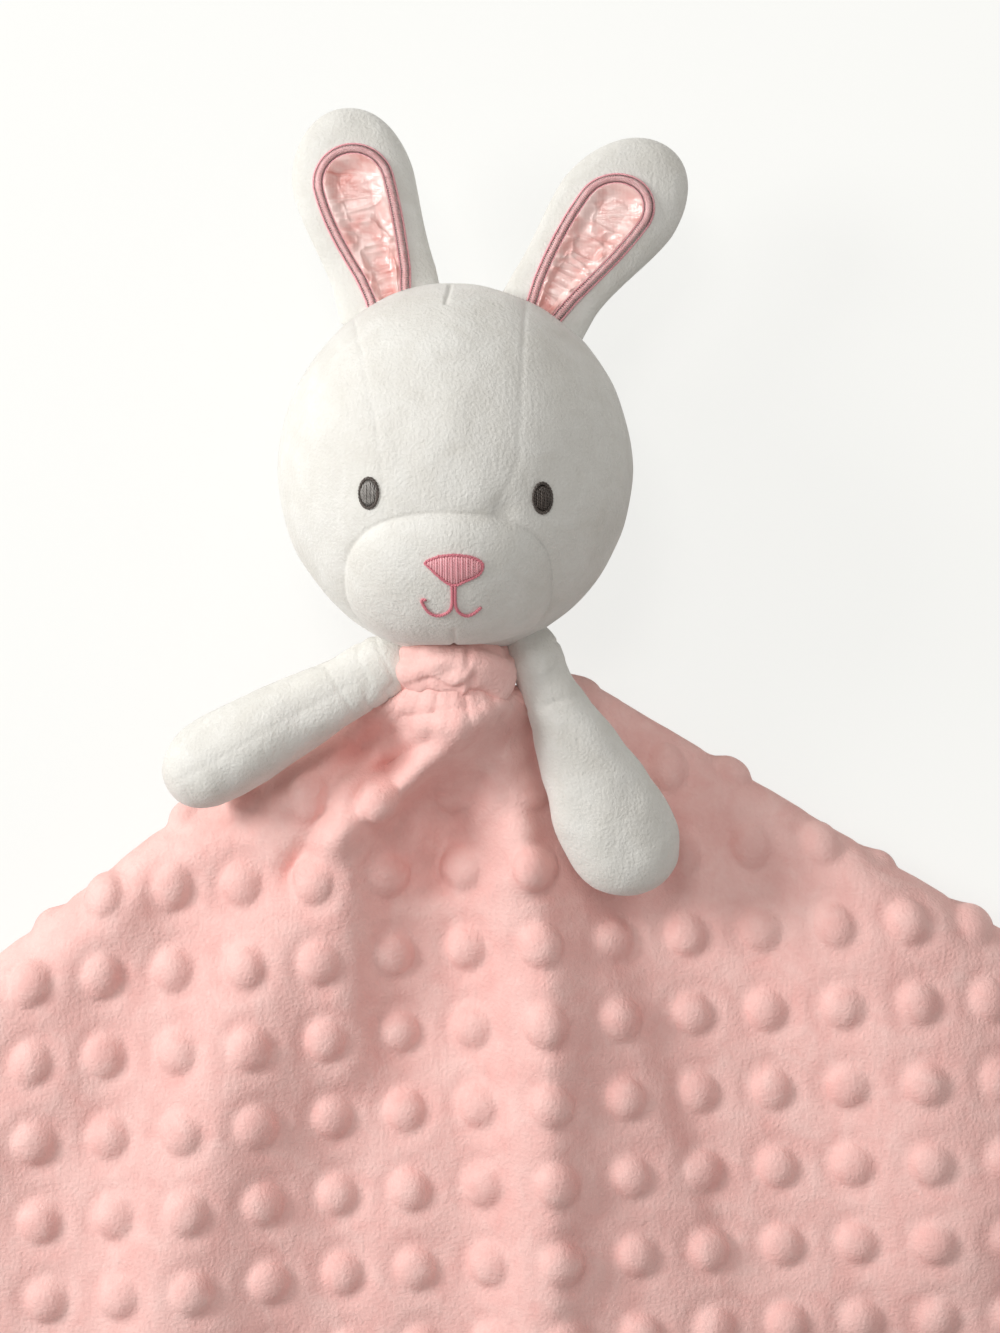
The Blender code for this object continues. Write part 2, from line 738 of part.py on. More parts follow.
def arm_root(side, dip, roll):
    """The world matrix of an arm's root, beside the collar."""
    x = NECK_X + side * (COLLAR_RADIUS + COLLAR_ROLL + ARM_ROOT_RADIUS + GAP)
    turn = Matrix.Rotation(-side * (math.pi / 2.0 + math.radians(dip)), 4, "Z")
    droop = Matrix.Rotation(-math.radians(ARM_DROOP), 4, "X")
    place = Matrix.Translation((x, NECK_Y + collar_y(), neck_z() - ARM_ROOT_DROP))
    return place @ turn @ droop @ Matrix.Rotation(math.radians(roll), 4, "Y")


def make_arm(name, limb, matrix, parts):
    """One arm about its root."""
    root = joint_empty(name + "_root", matrix, parts)
    limb_skins(name, limb, ARM_SKIN, ARM_SEGMENTS, ARM_RINGS, parts, root)
    filling = limb.place(ARM_SKIN + GAP, 0.0)
    ball(name + "_stuffing", filling, FIBRE_WHITE, parts, ARM_SEGMENTS, ARM_RINGS, root)


def collar_y():
    """Where the middle of the collar roll lies, from the neck."""
    return -COLLAR_HEAD_ROOM - COLLAR_ROLL - COLLAR_RUFFLE_DEPTH


def thread_y():
    """Where the gathering thread lies, from the neck."""
    return collar_y() - COLLAR_ROLL - COLLAR_RUFFLE_DEPTH - GAP - THREAD_RADIUS


def ring_y():
    """Where the blanket's top edge lies, from the neck."""
    return thread_y() - THREAD_RADIUS - NECK_RIM_ROOM


def neck_z():
    """The height of the neck's middle, level with the head's."""
    return HEAD_HALF_DEPTH - FLAT_CUT


def make_collar(parts):
    """The ruffled collar roll and the gathering thread."""
    mesh = bmesh.new()
    bmesh.ops.create_grid(mesh, x_segments=COLLAR_SEGMENTS, y_segments=COLLAR_SIDES, size=1)
    for vert in mesh.verts:
        turn = math.pi * (vert.co.x + 1.0)
        around = math.pi * (vert.co.y + 1.0)
        roll = COLLAR_ROLL + COLLAR_RUFFLE_DEPTH * math.cos(COLLAR_RUFFLES * turn)
        reach = COLLAR_RADIUS + roll * math.cos(around)
        vert.co = Vector(
            (
                NECK_X + reach * math.sin(turn),
                NECK_Y + collar_y() + roll * math.sin(around),
                neck_z() + reach * math.cos(turn),
            )
        )
    bmesh.ops.remove_doubles(mesh, verts=mesh.verts, dist=MERGE)
    link_mesh("neck_collar", mesh, MINKY_PINK, parts)
    ring = []
    for index in range(COLLAR_SEGMENTS):
        turn = 2.0 * math.pi * index / COLLAR_SEGMENTS
        across = THREAD_RING_RADIUS * math.sin(turn)
        up = THREAD_RING_RADIUS * math.cos(turn)
        ring.append(Vector((NECK_X + across, NECK_Y + thread_y(), neck_z() + up)))
    tube("gathering_thread", ring, THREAD_RADIUS, True, STITCH_PINK, parts)


def make_neck_stuffing(parts):
    """The wad of fibre in the neck."""
    middle = Vector((NECK_X, NECK_Y - GAP - NECK_WAD_RADIUS, neck_z()))
    return ball(
        "neck_stuffing",
        lambda unit: middle + unit * NECK_WAD_RADIUS,
        FIBRE_WHITE,
        parts,
        NECK_WAD_SEGMENTS,
        NECK_WAD_RINGS,
    )


def hem_place(across):
    """The hem's place from the neck, for across from -1 at the left edge to 1 at the right one."""
    angle = math.radians(FAN_TURN + across * FAN_HALF_ANGLE)
    cloth_angle = angle - math.radians(CLOTH_TURN)
    reach = BLANKET_SIDE / 2.0 / max(abs(math.sin(cloth_angle)), abs(math.cos(cloth_angle))) - GATHERED_RADIUS
    return Vector((reach * math.sin(angle), collar_y() - reach * math.cos(angle)))


def distance_to_stretch(place, start, end):
    """How far this place lies from the straight stretch between two places."""
    line = end - start
    share = (place - start).dot(line) / line.length_squared
    return (place - start - line * min(max(share, 0.0), 1.0)).length


def fold_rise(place):
    """How far the folds lift the blanket's front at this place from the neck."""
    half_side = BLANKET_SIDE / 2.0
    rise = 0.0
    for fold in FOLDS:
        line = [Vector(corner_shares) * half_side for corner_shares in fold.line_shares]
        away = min(distance_to_stretch(place, start, end) for start, end in zip(line, line[1:]))
        rise += fold.height_share * half_side * math.exp(-((away / (fold.width_share * half_side)) ** 2))
    return rise


def blanket_point(across, side, down):
    """A point of the laid blanket, from its neck edge to its hem.

    Across runs from -1 to 1 between the two edge folds, side is 1 in front and -1 behind, and down is 0 at
    the neck and 1 at the hem.
    """
    spread_here = mix(NECK_RING_RADIUS, (hem_place(1.0) - hem_place(-1.0)).length / 2.0, down)
    turn = across * math.pi / 2.0
    start = Vector((NECK_RING_RADIUS * math.sin(turn), ring_y()))
    place = mix(start, hem_place(across), down)
    lift = SHOULDER_LIFT_RIGHT if across > 0.0 else SHOULDER_LIFT_LEFT
    place.y += lift * abs(across) ** 3 * (1.0 - down) * ease(down / SHOULDER_RISE_SHARE)
    edge = (1.0 - abs(across)) * spread_here / EDGE_ROUND
    rounding = arch(1.0 - edge)
    top = mix(BLANKET_TOP, HEM_TOP, down) + fold_rise(place)
    if side > 0.0:
        laid = mix(FOLD_RADIUS, top, rounding)
    else:
        laid = FOLD_RADIUS * (1.0 - rounding)
    raised = neck_z() + side * NECK_RING_RADIUS * math.cos(turn)
    slope = NECK_BACK_SLOPE
    if side > 0.0:
        slope = mix(NECK_SLOPE, NECK_SIDE_SLOPE, ease(abs(across) / NECK_SIDE_SHARE))
    settle = ease((place - start).length / slope)
    return Vector((NECK_X + place.x, NECK_Y + place.y, mix(raised, laid, settle)))


def blanket_loop():
    """The (across, side) places round the blanket: over the front from left to right, and back underneath."""
    front = [(-math.cos(math.pi * index / ACROSS_STEPS), 1.0) for index in range(ACROSS_STEPS)]
    back = [(math.cos(math.pi * index / ACROSS_STEPS), -1.0) for index in range(ACROSS_STEPS)]
    places = []
    for across, side in front + back:
        even = math.asin(across) * 2.0 / math.pi
        places.append((mix(even, across, EDGE_CROWDING_SHARE), side))
    return places


def blanket_surface(inset, capped):
    """The blanket's surface as a tube from neck to hem, moved inward, and closed at both ends if asked."""
    loop = blanket_loop()
    mesh = bmesh.new()
    bmesh.ops.create_grid(mesh, x_segments=len(loop), y_segments=DOWN_STEPS, size=1)
    turns = mesh.verts.layers.int.new("turn")
    rows = mesh.verts.layers.int.new("row")
    for vert in mesh.verts:
        vert[turns] = round((vert.co.x + 1.0) / 2.0 * len(loop)) % len(loop)
        vert[rows] = round((vert.co.y + 1.0) / 2.0 * DOWN_STEPS)
        across, side = loop[vert[turns]]
        vert.co = blanket_point(across, side, (vert[rows] / DOWN_STEPS) ** NECK_CROWDING)
    bmesh.ops.remove_doubles(mesh, verts=mesh.verts, dist=MERGE)
    bmesh.ops.recalc_face_normals(mesh, faces=mesh.faces)
    mesh.normal_update()
    for vert in mesh.verts:
        vert.co -= vert.normal * inset
    if capped:
        for row in (0, DOWN_STEPS):
            rim = [vert for vert in mesh.verts if vert[rows] == row]
            close_rim(mesh, sorted(rim, key=lambda vert: vert[turns]))
    return mesh


def close_rim(mesh, rim):
    """Closes an open end of the blanket's surface, from its left edge fold to its right one."""
    for index in range(ACROSS_STEPS):
        corners = (rim[index], rim[index + 1], rim[-index - 1], rim[-index])
        mesh.faces.new(list(dict.fromkeys(corners)))


def make_blanket(parts):
    """The minky outside, the folded lining inside it and the stitching along the hem."""
    minky = link_mesh("blanket_minky", blanket_surface(0.0, False), MINKY_PINK, parts)
    modifier = minky.modifiers.new("cloth", "SOLIDIFY")
    modifier.thickness = MINKY
    modifier.offset = -1.0
    link_mesh("blanket_lining", blanket_surface(MINKY + GAP, True), LINING_PINK, parts)
    outline = []
    for across, side in blanket_loop():
        edge = blanket_point(across, side, 1.0)
        middle = Vector((NECK_X, NECK_Y + collar_y()))
        outward = (edge.xy - middle).normalized() * (HEM_THREAD + GAP)
        outline.append(edge + Vector((outward.x, outward.y, -side * MINKY / 2.0)))
    tube("hem_stitching", outline, HEM_THREAD, True, STITCH_PINK, parts)


def build():
    """Makes every piece of the toy."""
    empty_scene()
    parts = collection("comfort_blanket_lovey")
    cutters = collection("cutters")
    nod_pivot = Matrix.Translation((NECK_X, NECK_Y + NECK_HINGE_Y, neck_z() + NECK_HINGE_RISE))
    turn_pivot = Matrix.Translation((NECK_X, NECK_Y + NECK_HINGE_Y, neck_z()))
    make_blanket(parts)
    make_collar(parts)
    carry(joint_empty("neck_root", nod_pivot, parts), [make_neck_stuffing(parts)])
    others = set(parts.objects)
    make_head(parts, cutters)
    make_face(parts)
    head_pieces = [obj for obj in parts.objects if obj not in others]
    carry(joint_empty("head_root", turn_pivot, parts), head_pieces)
    make_ear("ear_left", LEFT_EAR, ear_root(LEFT_EAR_X, -LEFT_EAR_TILT), parts)
    make_ear("ear_right", RIGHT_EAR, ear_root(RIGHT_EAR_X, RIGHT_EAR_TILT), parts)
    make_arm("arm_left", LEFT_ARM, arm_root(-1.0, LEFT_ARM_DIP, LEFT_ARM_ROLL), parts)
    make_arm("arm_right", RIGHT_ARM, arm_root(1.0, RIGHT_ARM_DIP, RIGHT_ARM_ROLL), parts)


build()
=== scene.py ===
"""Looks of the comfort blanket lovey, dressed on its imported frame.

A plush bunny head, two ears and two arms lie on a minky blanket that is gathered at the neck. Lengths are in
metres, angles in degrees and colours are 8-bit screen values, unless a name says otherwise.
"""

import json
import logging
import math
from dataclasses import dataclass
from enum import Enum
from typing import Sequence

import bpy
import numpy as np
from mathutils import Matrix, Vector


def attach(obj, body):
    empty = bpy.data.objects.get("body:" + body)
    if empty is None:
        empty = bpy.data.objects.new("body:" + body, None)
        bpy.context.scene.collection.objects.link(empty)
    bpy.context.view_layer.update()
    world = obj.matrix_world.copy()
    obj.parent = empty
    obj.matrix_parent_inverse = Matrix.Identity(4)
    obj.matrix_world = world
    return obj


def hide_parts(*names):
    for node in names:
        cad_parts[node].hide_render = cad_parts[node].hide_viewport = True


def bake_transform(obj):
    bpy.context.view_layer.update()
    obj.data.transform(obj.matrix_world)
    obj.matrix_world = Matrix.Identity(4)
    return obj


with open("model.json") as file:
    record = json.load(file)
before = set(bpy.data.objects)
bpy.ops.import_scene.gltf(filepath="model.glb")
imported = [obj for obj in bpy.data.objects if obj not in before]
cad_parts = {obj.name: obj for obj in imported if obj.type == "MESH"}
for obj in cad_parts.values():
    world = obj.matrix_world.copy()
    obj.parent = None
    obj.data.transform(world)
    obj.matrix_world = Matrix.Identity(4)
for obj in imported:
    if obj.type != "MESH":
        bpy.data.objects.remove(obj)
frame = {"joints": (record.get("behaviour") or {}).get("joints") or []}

LOG = logging.getLogger("lovey")
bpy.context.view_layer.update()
SKIN_GAP = 0.0003
NEAR_ZERO = 1e-9

Colour = tuple[int, int, int]
Points = np.ndarray
Outline = tuple[tuple[float, float], ...]
JOINTS = {joint["name"]: joint for joint in frame["joints"]}
NECK = np.array(JOINTS["head_turn"]["pos_m"])


class Slot(Enum):
    """The record's material slots."""

    PLUSH = "plush"
    FIBRE = "fibre"
    MINKY = "minky"
    LINING = "lining"
    SATIN = "satin"
    PINK_THREAD = "pink_thread"
    DARK_THREAD = "dark_thread"


def linear(colour: Colour) -> tuple[float, float, float, float]:
    """A screen colour as the linear values that a shader takes.

    Args:
        colour: red, green and blue from 0 to 255.

    Returns:
        Red, green, blue and an alpha of 1.
    """
    channels = []
    for value in colour:
        share = value / 255.0
        channels.append(share / 12.92 if share <= 0.04045 else ((share + 0.055) / 1.055) ** 2.4)
    return (*channels, 1.0)


def ease(value: Points | float) -> Points:
    """A smooth step from 0 to 1 as the value goes from 0 to 1.

    Args:
        value: one value or an array of them.

    Returns:
        The eased values, held at 0 and 1 outside that range.
    """
    held = np.clip(value, 0.0, 1.0)
    return held * held * (3.0 - 2.0 * held)


def mix(first: Points | float, second: Points | float, share: Points | float) -> Points:
    """The value that lies this share of the way from the first to the second.

    Args:
        first: the value at a share of 0.
        second: the value at a share of 1.
        share: how far along, as one value or an array.

    Returns:
        The mixed value.
    """
    return first * (1.0 - share) + second * share


def bump(away: Points | float) -> Points:
    """A round bump that is 1 at 0 and falls off by about 2. Away is the distance in bump widths."""
    return np.exp(-np.square(away))


def lattice_values(cells: Points, seed: int) -> Points:
    """Repeatable random values for the corners of a lattice.

    Args:
        cells: whole numbers, one row of three for each corner.
        seed: picks one field out of many.

    Returns:
        One value from 0 to 1 for each corner.
    """
    mixed = (
        cells[..., 0].astype(np.uint64) * np.uint64(73856093)
        ^ cells[..., 1].astype(np.uint64) * np.uint64(19349663)
        ^ cells[..., 2].astype(np.uint64) * np.uint64(83492791)
        ^ np.uint64(seed * 2654435761 % 2**32)
    )
    for shift in (13, 17, 5):
        mixed ^= mixed >> np.uint64(shift)
        mixed = mixed * np.uint64(6364136223846793005) + np.uint64(1442695040888963407)
    return ((mixed >> np.uint64(40)).astype(float)) / float(2**24)


def lumps(points: Points, size: float, seed: int) -> Points:
    """A smooth random field, for soft lumps and wavering lines.

    Args:
        points: places, one row of three for each.
        size: how far apart the lumps lie.
        seed: picks one field out of many.

    Returns:
        Values from -1 to 1, one for each place.
    """
    scaled = points / size + 1000.0
    base = np.floor(scaled)
    part = ease(scaled - base)
    cells = base.astype(np.int64)
    total = np.zeros(points.shape[:-1])
    for corner in range(8):
        offset = np.array([corner & 1, corner >> 1 & 1, corner >> 2 & 1])
        weight = np.prod(np.where(offset == 1, part, 1.0 - part), axis=-1)
        total += weight * lattice_values(cells + offset, seed)
    return 2.0 * total - 1.0


def distance_to_line(points: Points, line: Points, closed: bool = False) -> Points:
    """How far each place lies from a line of straight stretches.

    Args:
        points: places, one row for each.
        line: the line's corners, one row for each, with as many columns as points.
        closed: whether the last corner joins the first.

    Returns:
        One distance for each place.
    """
    ends = np.roll(line, -1, axis=0) if closed else line[1:]
    starts = line if closed else line[:-1]
    nearest = np.full(points.shape[:-1], np.inf)
    for start, end in zip(starts, ends):
        along = end - start
        length = max(float(along @ along), NEAR_ZERO)
        share = np.clip(((points - start) @ along) / length, 0.0, 1.0)
        away = np.linalg.norm(points - (start + share[..., None] * along), axis=-1)
        nearest = np.minimum(nearest, away)
    return nearest


def smooth_line(corners: Sequence[Sequence[float]], steps: int) -> Points:
    """A smooth line through chosen corners.

    Args:
        corners: the places that the line passes, in order.
        steps: how many points to make between two corners.

    Returns:
        The line's points, one row for each.
    """
    route = np.array(corners, float)
    padded = np.vstack([2.0 * route[0] - route[1], route, 2.0 * route[-1] - route[-2]])
    points = []
    for index in range(1, len(padded) - 2):
        before, start, end, after = padded[index - 1 : index + 3]
        for step in range(steps):
            t = step / steps
            points.append(
                0.5
                * (
                    2.0 * start
                    + (end - before) * t
                    + (2.0 * before - 5.0 * start + 4.0 * end - after) * t * t
                    + (3.0 * start - before - 3.0 * end + after) * t * t * t
                )
            )
    points.append(route[-1])
    return np.array(points)


def surface_normals(grid: Points, closed: bool) -> Points:
    """Unit normals of a grid of points, row direction crossed with column direction.

    Args:
        grid: rows by columns of places.
        closed: whether the last column joins the first.

    Returns:
        Rows by columns of unit vectors.
    """
    down = np.gradient(grid, axis=0)
    if closed:
        across = np.roll(grid, -1, axis=1) - np.roll(grid, 1, axis=1)
    else:
        across = np.gradient(grid, axis=1)
    normals = np.cross(down, across)
    return normals / np.maximum(np.linalg.norm(normals, axis=-1, keepdims=True), NEAR_ZERO)


def grid_object(
    name: str,
    grid: Points,
    closed: bool,
    capped: bool = False,
    wrapped: bool = False,
) -> bpy.types.Object:
    """A mesh object from a grid of points.

    Args:
        name: the piece's name.
        grid: rows by columns of places.
        closed: whether the last column joins the first.
        capped: whether each end row closes onto its middle.
        wrapped: whether the last row joins the first.

    Returns:
        The new object, linked to the scene.
    """
    rows, columns = grid.shape[:2]
    index = np.arange(rows * columns).reshape(rows, columns)
    if wrapped:
        index = np.vstack([index, index[:1]])
    right = np.roll(index, -1, axis=1) if closed else index[:, 1:]
    left = index if closed else index[:, :-1]
    quads = np.stack([left[:-1], left[1:], right[1:], right[:-1]], axis=-1).reshape(-1, 4)
    points = grid.reshape(-1, 3)
    faces = [tuple(face) for face in quads.tolist()]
    if capped:
        points = np.vstack([points, grid[0].mean(axis=0), grid[-1].mean(axis=0)])
        low, high = rows * columns, rows * columns + 1
        for column in range(columns):
            after = (column + 1) % columns
            faces.append((low, int(index[0, column]), int(index[0, after])))
            faces.append((high, int(index[-1, after]), int(index[-1, column])))
    mesh = bpy.data.meshes.new(name)
    mesh.from_pydata(points.tolist(), [], faces)
    mesh.update()
    mesh.shade_smooth()
    obj = bpy.data.objects.new(name, mesh)
    bpy.context.scene.collection.objects.link(obj)
    return obj


def face_outward(obj: bpy.types.Object) -> None:
    """Turns every face of a closed piece outward. Obj is the piece, whose volume tells which way it faces."""
    mesh = obj.data
    mesh.calc_loop_triangles()
    corners = np.empty(len(mesh.loop_triangles) * 3, np.int32)
    mesh.loop_triangles.foreach_get("vertices", corners)
    places = np.empty(len(mesh.vertices) * 3, np.float32)
    mesh.vertices.foreach_get("co", places)
    triangles = places.reshape(-1, 3)[corners.reshape(-1, 3)].astype(float)
    volume = np.einsum("ij,ij->i", triangles[:, 0], np.cross(triangles[:, 1], triangles[:, 2])).sum()
    if volume < 0.0:
        mesh.flip_normals()


def tube_grid(route: Points, radius: float | Points, sides: int, closed: bool) -> Points:
    """The surface points of a tube along a route.

    Args:
        route: the points that it follows.
        radius: one radius, or one for each point.
        sides: how many corners its section has.
        closed: whether the route is a ring.

    Returns:
        Points of the route by sides of places.
    """
    if closed:
        tangents = np.roll(route, -1, axis=0) - np.roll(route, 1, axis=0)
    else:
        tangents = np.gradient(route, axis=0)
    tangents /= np.maximum(np.linalg.norm(tangents, axis=1, keepdims=True), NEAR_ZERO)
    up = np.array([0.0, 0.0, 1.0])
    side = np.cross(tangents, up)
    flat = np.linalg.norm(side, axis=1, keepdims=True)
    side = np.where(flat > 0.05, side / np.maximum(flat, NEAR_ZERO), np.array([1.0, 0.0, 0.0]))
    rise = np.cross(side, tangents)
    radii = np.broadcast_to(np.asarray(radius, float), (len(route),))[:, None, None]
    turns = 2.0 * np.pi * np.arange(sides) / sides
    ring = side[:, None, :] * np.cos(turns)[None, :, None] + rise[:, None, :] * np.sin(turns)[None, :, None]
    return route[:, None, :] + radii * ring


def tubes_object(
    name: str, routes: Sequence[Points], radii: Sequence[float | Points], sides: int, closed: bool
) -> bpy.types.Object:
    """Several threads as one mesh object.

    Args:
        name: the piece's name.
        routes: the points that each thread follows.
        radii: the radius of each thread, or one for each of its points.
        sides: how many corners each section has.
        closed: whether each route is a ring.

    Returns:
        The new object.
    """
    points: list[Sequence[float]] = []
    faces: list[tuple[int, ...]] = []
    for route, radius in zip(routes, radii):
        grid = tube_grid(np.asarray(route, float), radius, sides, closed)
        rows = len(grid)
        start = len(points)
        points.extend(grid.reshape(-1, 3).tolist())
        for row in range(rows if closed else rows - 1):
            here = start + row * sides
            there = start + (row + 1) % rows * sides
            for corner in range(sides):
                after = (corner + 1) % sides
                faces.append((here + corner, here + after, there + after, there + corner))
        if not closed:
            faces.append(tuple(range(start + sides - 1, start - 1, -1)))
            faces.append(tuple(range(start + (rows - 1) * sides, start + rows * sides)))
    mesh = bpy.data.meshes.new(name)
    mesh.from_pydata(points, [], faces)
    mesh.update()
    mesh.shade_smooth()
    obj = bpy.data.objects.new(name, mesh)
    bpy.context.scene.collection.objects.link(obj)
    return obj


class Grain(Enum):
    """The small surface structure of a cloth or thread."""

    PILE = "pile"
    KNIT = "knit"
    SATIN = "satin"
    THREAD = "thread"


class NodeBench:
    """Places and links the nodes of one shader tree."""

    def __init__(self, tree: bpy.types.NodeTree) -> None:
        """Starts work on a tree. Args: tree is the node tree of a material or of a group."""
        self.tree = tree

    def node(self, kind: str, **settings: object) -> bpy.types.Node:
        """A new node.

        Args:
            kind: the node's type name.
            settings: properties of the node to set.

        Returns:
            The node.
        """
        made = self.tree.nodes.new(kind)
        for key, value in settings.items():
            setattr(made, key, value)
        return made

    def link(self, source: bpy.types.NodeSocket, target: bpy.types.NodeSocket) -> None:
        """Joins two sockets. Args: source is the output, target the input."""
        self.tree.links.new(source, target)

    def feed(self, source: bpy.types.NodeSocket | float, target: bpy.types.NodeSocket) -> None:
        """Gives an input its value. Args: source is an output socket or a number, target the input."""
        if isinstance(source, bpy.types.NodeSocket):
            self.link(source, target)
        else:
            target.default_value = source

    def math(
        self, operation: str, first: bpy.types.NodeSocket | float, second: bpy.types.NodeSocket | float
    ) -> bpy.types.NodeSocket:
        """The result of a sum on two values.

        Args:
            operation: the name of the sum.
            first: the first value or socket.
            second: the second value or socket.

        Returns:
            The output socket.
        """
        made = self.node("ShaderNodeMath", operation=operation)
        self.feed(first, made.inputs[0])
        self.feed(second, made.inputs[1])
        return made.outputs[0]

    def stretched(
        self, vector: bpy.types.NodeSocket, stretch: tuple[float, float, float]
    ) -> bpy.types.NodeSocket:
        """A vector scaled along each axis. Args: vector is the socket, stretch the three factors."""
        made = self.node("ShaderNodeMapping")
        made.inputs["Scale"].default_value = stretch
        self.link(vector, made.inputs["Vector"])
        return made.outputs["Vector"]

    def noise(
        self,
        vector: bpy.types.NodeSocket,
        scale: bpy.types.NodeSocket | float,
        detail: float,
        warp: float = 0.0,
    ) -> bpy.types.NodeSocket:
        """A noise field.

        Args:
            vector: where to read it.
            scale: how many lumps there are in a metre.
            detail: how many finer layers it has.
            warp: how far the field is bent.

        Returns:
            The socket of its value, from 0 to 1.
        """
        made = self.node("ShaderNodeTexNoise")
        made.inputs["Detail"].default_value = detail
        made.inputs["Distortion"].default_value = warp
        self.feed(scale, made.inputs["Scale"])
        self.link(vector, made.inputs["Vector"])
        return made.outputs["Fac"]

    def bands(
        self, vector: bpy.types.NodeSocket, scale: bpy.types.NodeSocket | float, direction: str, warp: float
    ) -> bpy.types.NodeSocket:
        """Even ridges.

        Args:
            vector: where to read them.
            scale: how close they lie.
            direction: the axis that they follow each other along.
            warp: how far they waver.

        Returns:
            The socket of their height, from 0 to 1.
        """
        made = self.node("ShaderNodeTexWave", wave_type="BANDS", bands_direction=direction)
        made.inputs["Distortion"].default_value = warp
        self.feed(scale, made.inputs["Scale"])
        self.link(vector, made.inputs["Vector"])
        return made.outputs["Fac"]


def new_group(
    name: str, inputs: Sequence[tuple[str, str]], outputs: Sequence[tuple[str, str]]
) -> tuple[NodeBench, bpy.types.Node, bpy.types.Node]:
    """An empty shader node group with named sockets.

    Args:
        name: the group's name.
        inputs: the name and socket type of each input.
        outputs: the name and socket type of each output.

    Returns:
        The bench to build on, the node with the inputs and the node that takes the outputs.
    """
    tree = bpy.data.node_groups.new(name, "ShaderNodeTree")
    for title, kind in inputs:
        tree.interface.new_socket(title, in_out="INPUT", socket_type=kind)
    for title, kind in outputs:
        tree.interface.new_socket(title, in_out="OUTPUT", socket_type=kind)
    bench = NodeBench(tree)
    return bench, bench.node("NodeGroupInput"), bench.node("NodeGroupOutput")


GRAIN_INPUTS = (
    ("Vector", "NodeSocketVector"),
    ("Grain Scale", "NodeSocketFloat"),
    ("Lump Scale", "NodeSocketFloat"),
)
GRAIN_OUTPUTS = (("Height", "NodeSocketFloat"), ("Mask", "NodeSocketFloat"))


def grain_group(grain: Grain) -> bpy.types.NodeTree:
    """The node group of a surface structure, built once.

    Args:
        grain: which structure.

    Returns:
        A group that gives a height and a mask of brushed or worn places; on satin the mask marks where
        highlight is painted.
    """
    name = grain.value + "_grain"
    found = bpy.data.node_groups.get(name)
    if found:
        return found
    bench, given, result = new_group(name, GRAIN_INPUTS, GRAIN_OUTPUTS)
    vector = given.outputs["Vector"]
    scale = given.outputs["Grain Scale"]
    lumps_here = bench.noise(vector, given.outputs["Lump Scale"], 3.0, 0.6)
    if grain is Grain.PILE:
        tufts = bench.noise(vector, scale, 3.0)
        brushed = bench.stretched(vector, (1.0, 0.3, 1.0))
        nap = bench.noise(brushed, bench.math("MULTIPLY", scale, 0.4), 2.0, 0.4)
        fine = bench.math("ADD", bench.math("MULTIPLY", tufts, 0.6), bench.math("MULTIPLY", nap, 0.4))
    elif grain is Grain.KNIT:
        wales = bench.bands(vector, scale, "X", 0.6)
        courses = bench.bands(vector, scale, "Y", 0.6)
        fine = bench.math("MULTIPLY", wales, courses)
    elif grain is Grain.SATIN:
        creases = bench.noise(bench.stretched(vector, (0.5, 1.7, 1.0)), given.outputs["Lump Scale"], 2.0, 1.6)
        floats = bench.bands(vector, scale, "X", 0.2)
        fine = bench.math("ADD", bench.math("MULTIPLY", creases, 0.94), bench.math("MULTIPLY", floats, 0.06))
    else:
        strands = bench.bands(vector, scale, "DIAGONAL", 1.2)
        fibres = bench.noise(vector, bench.math("MULTIPLY", scale, 2.0), 2.0)
        fine = bench.math("ADD", bench.math("MULTIPLY", strands, 0.7), bench.math("MULTIPLY", fibres, 0.3))
    height = bench.math("ADD", bench.math("MULTIPLY", fine, 0.8), bench.math("MULTIPLY", lumps_here, 0.2))
    bench.link(height, result.inputs["Height"])
    # On satin this mask lays painted highlight along the crests of the creases; on the other grains it is
    # random tone.
    blotches_and_highlights = bench.math("ADD", bench.math("MULTIPLY", fine, 0.35), bench.math("MULTIPLY", lumps_here, 0.65))
    bench.link(blotches_and_highlights, result.inputs["Mask"])
    return bench.tree


def tone_group() -> bpy.types.NodeTree:
    """The node group that varies a colour and its roughness over the cloth, built once."""
    found = bpy.data.node_groups.get("cloth_tone")
    if found:
        return found
    bench, given, result = new_group(
        "cloth_tone",
        (
            ("Base", "NodeSocketColor"),
            ("Shade", "NodeSocketColor"),
            ("Mask", "NodeSocketFloat"),
            ("Contrast", "NodeSocketFloat"),
            ("Roughness", "NodeSocketFloat"),
        ),
        (("Color", "NodeSocketColor"), ("Roughness", "NodeSocketFloat")),
    )
    centred = bench.math("SUBTRACT", given.outputs["Mask"], 0.5)
    spread = bench.math("MULTIPLY", centred, given.outputs["Contrast"])
    share = bench.node("ShaderNodeClamp")
    bench.link(bench.math("SUBTRACT", 0.35, spread), share.inputs["Value"])
    colour = bench.node("ShaderNodeMix", data_type="RGBA")
    bench.link(share.outputs[0], colour.inputs["Factor"])
    bench.link(given.outputs["Base"], colour.inputs["A"])
    bench.link(given.outputs["Shade"], colour.inputs["B"])
    bench.link(colour.outputs["Result"], result.inputs["Color"])
    rough = bench.math("ADD", given.outputs["Roughness"], bench.math("MULTIPLY", spread, 0.06))
    bench.link(rough, result.inputs["Roughness"])
    return bench.tree


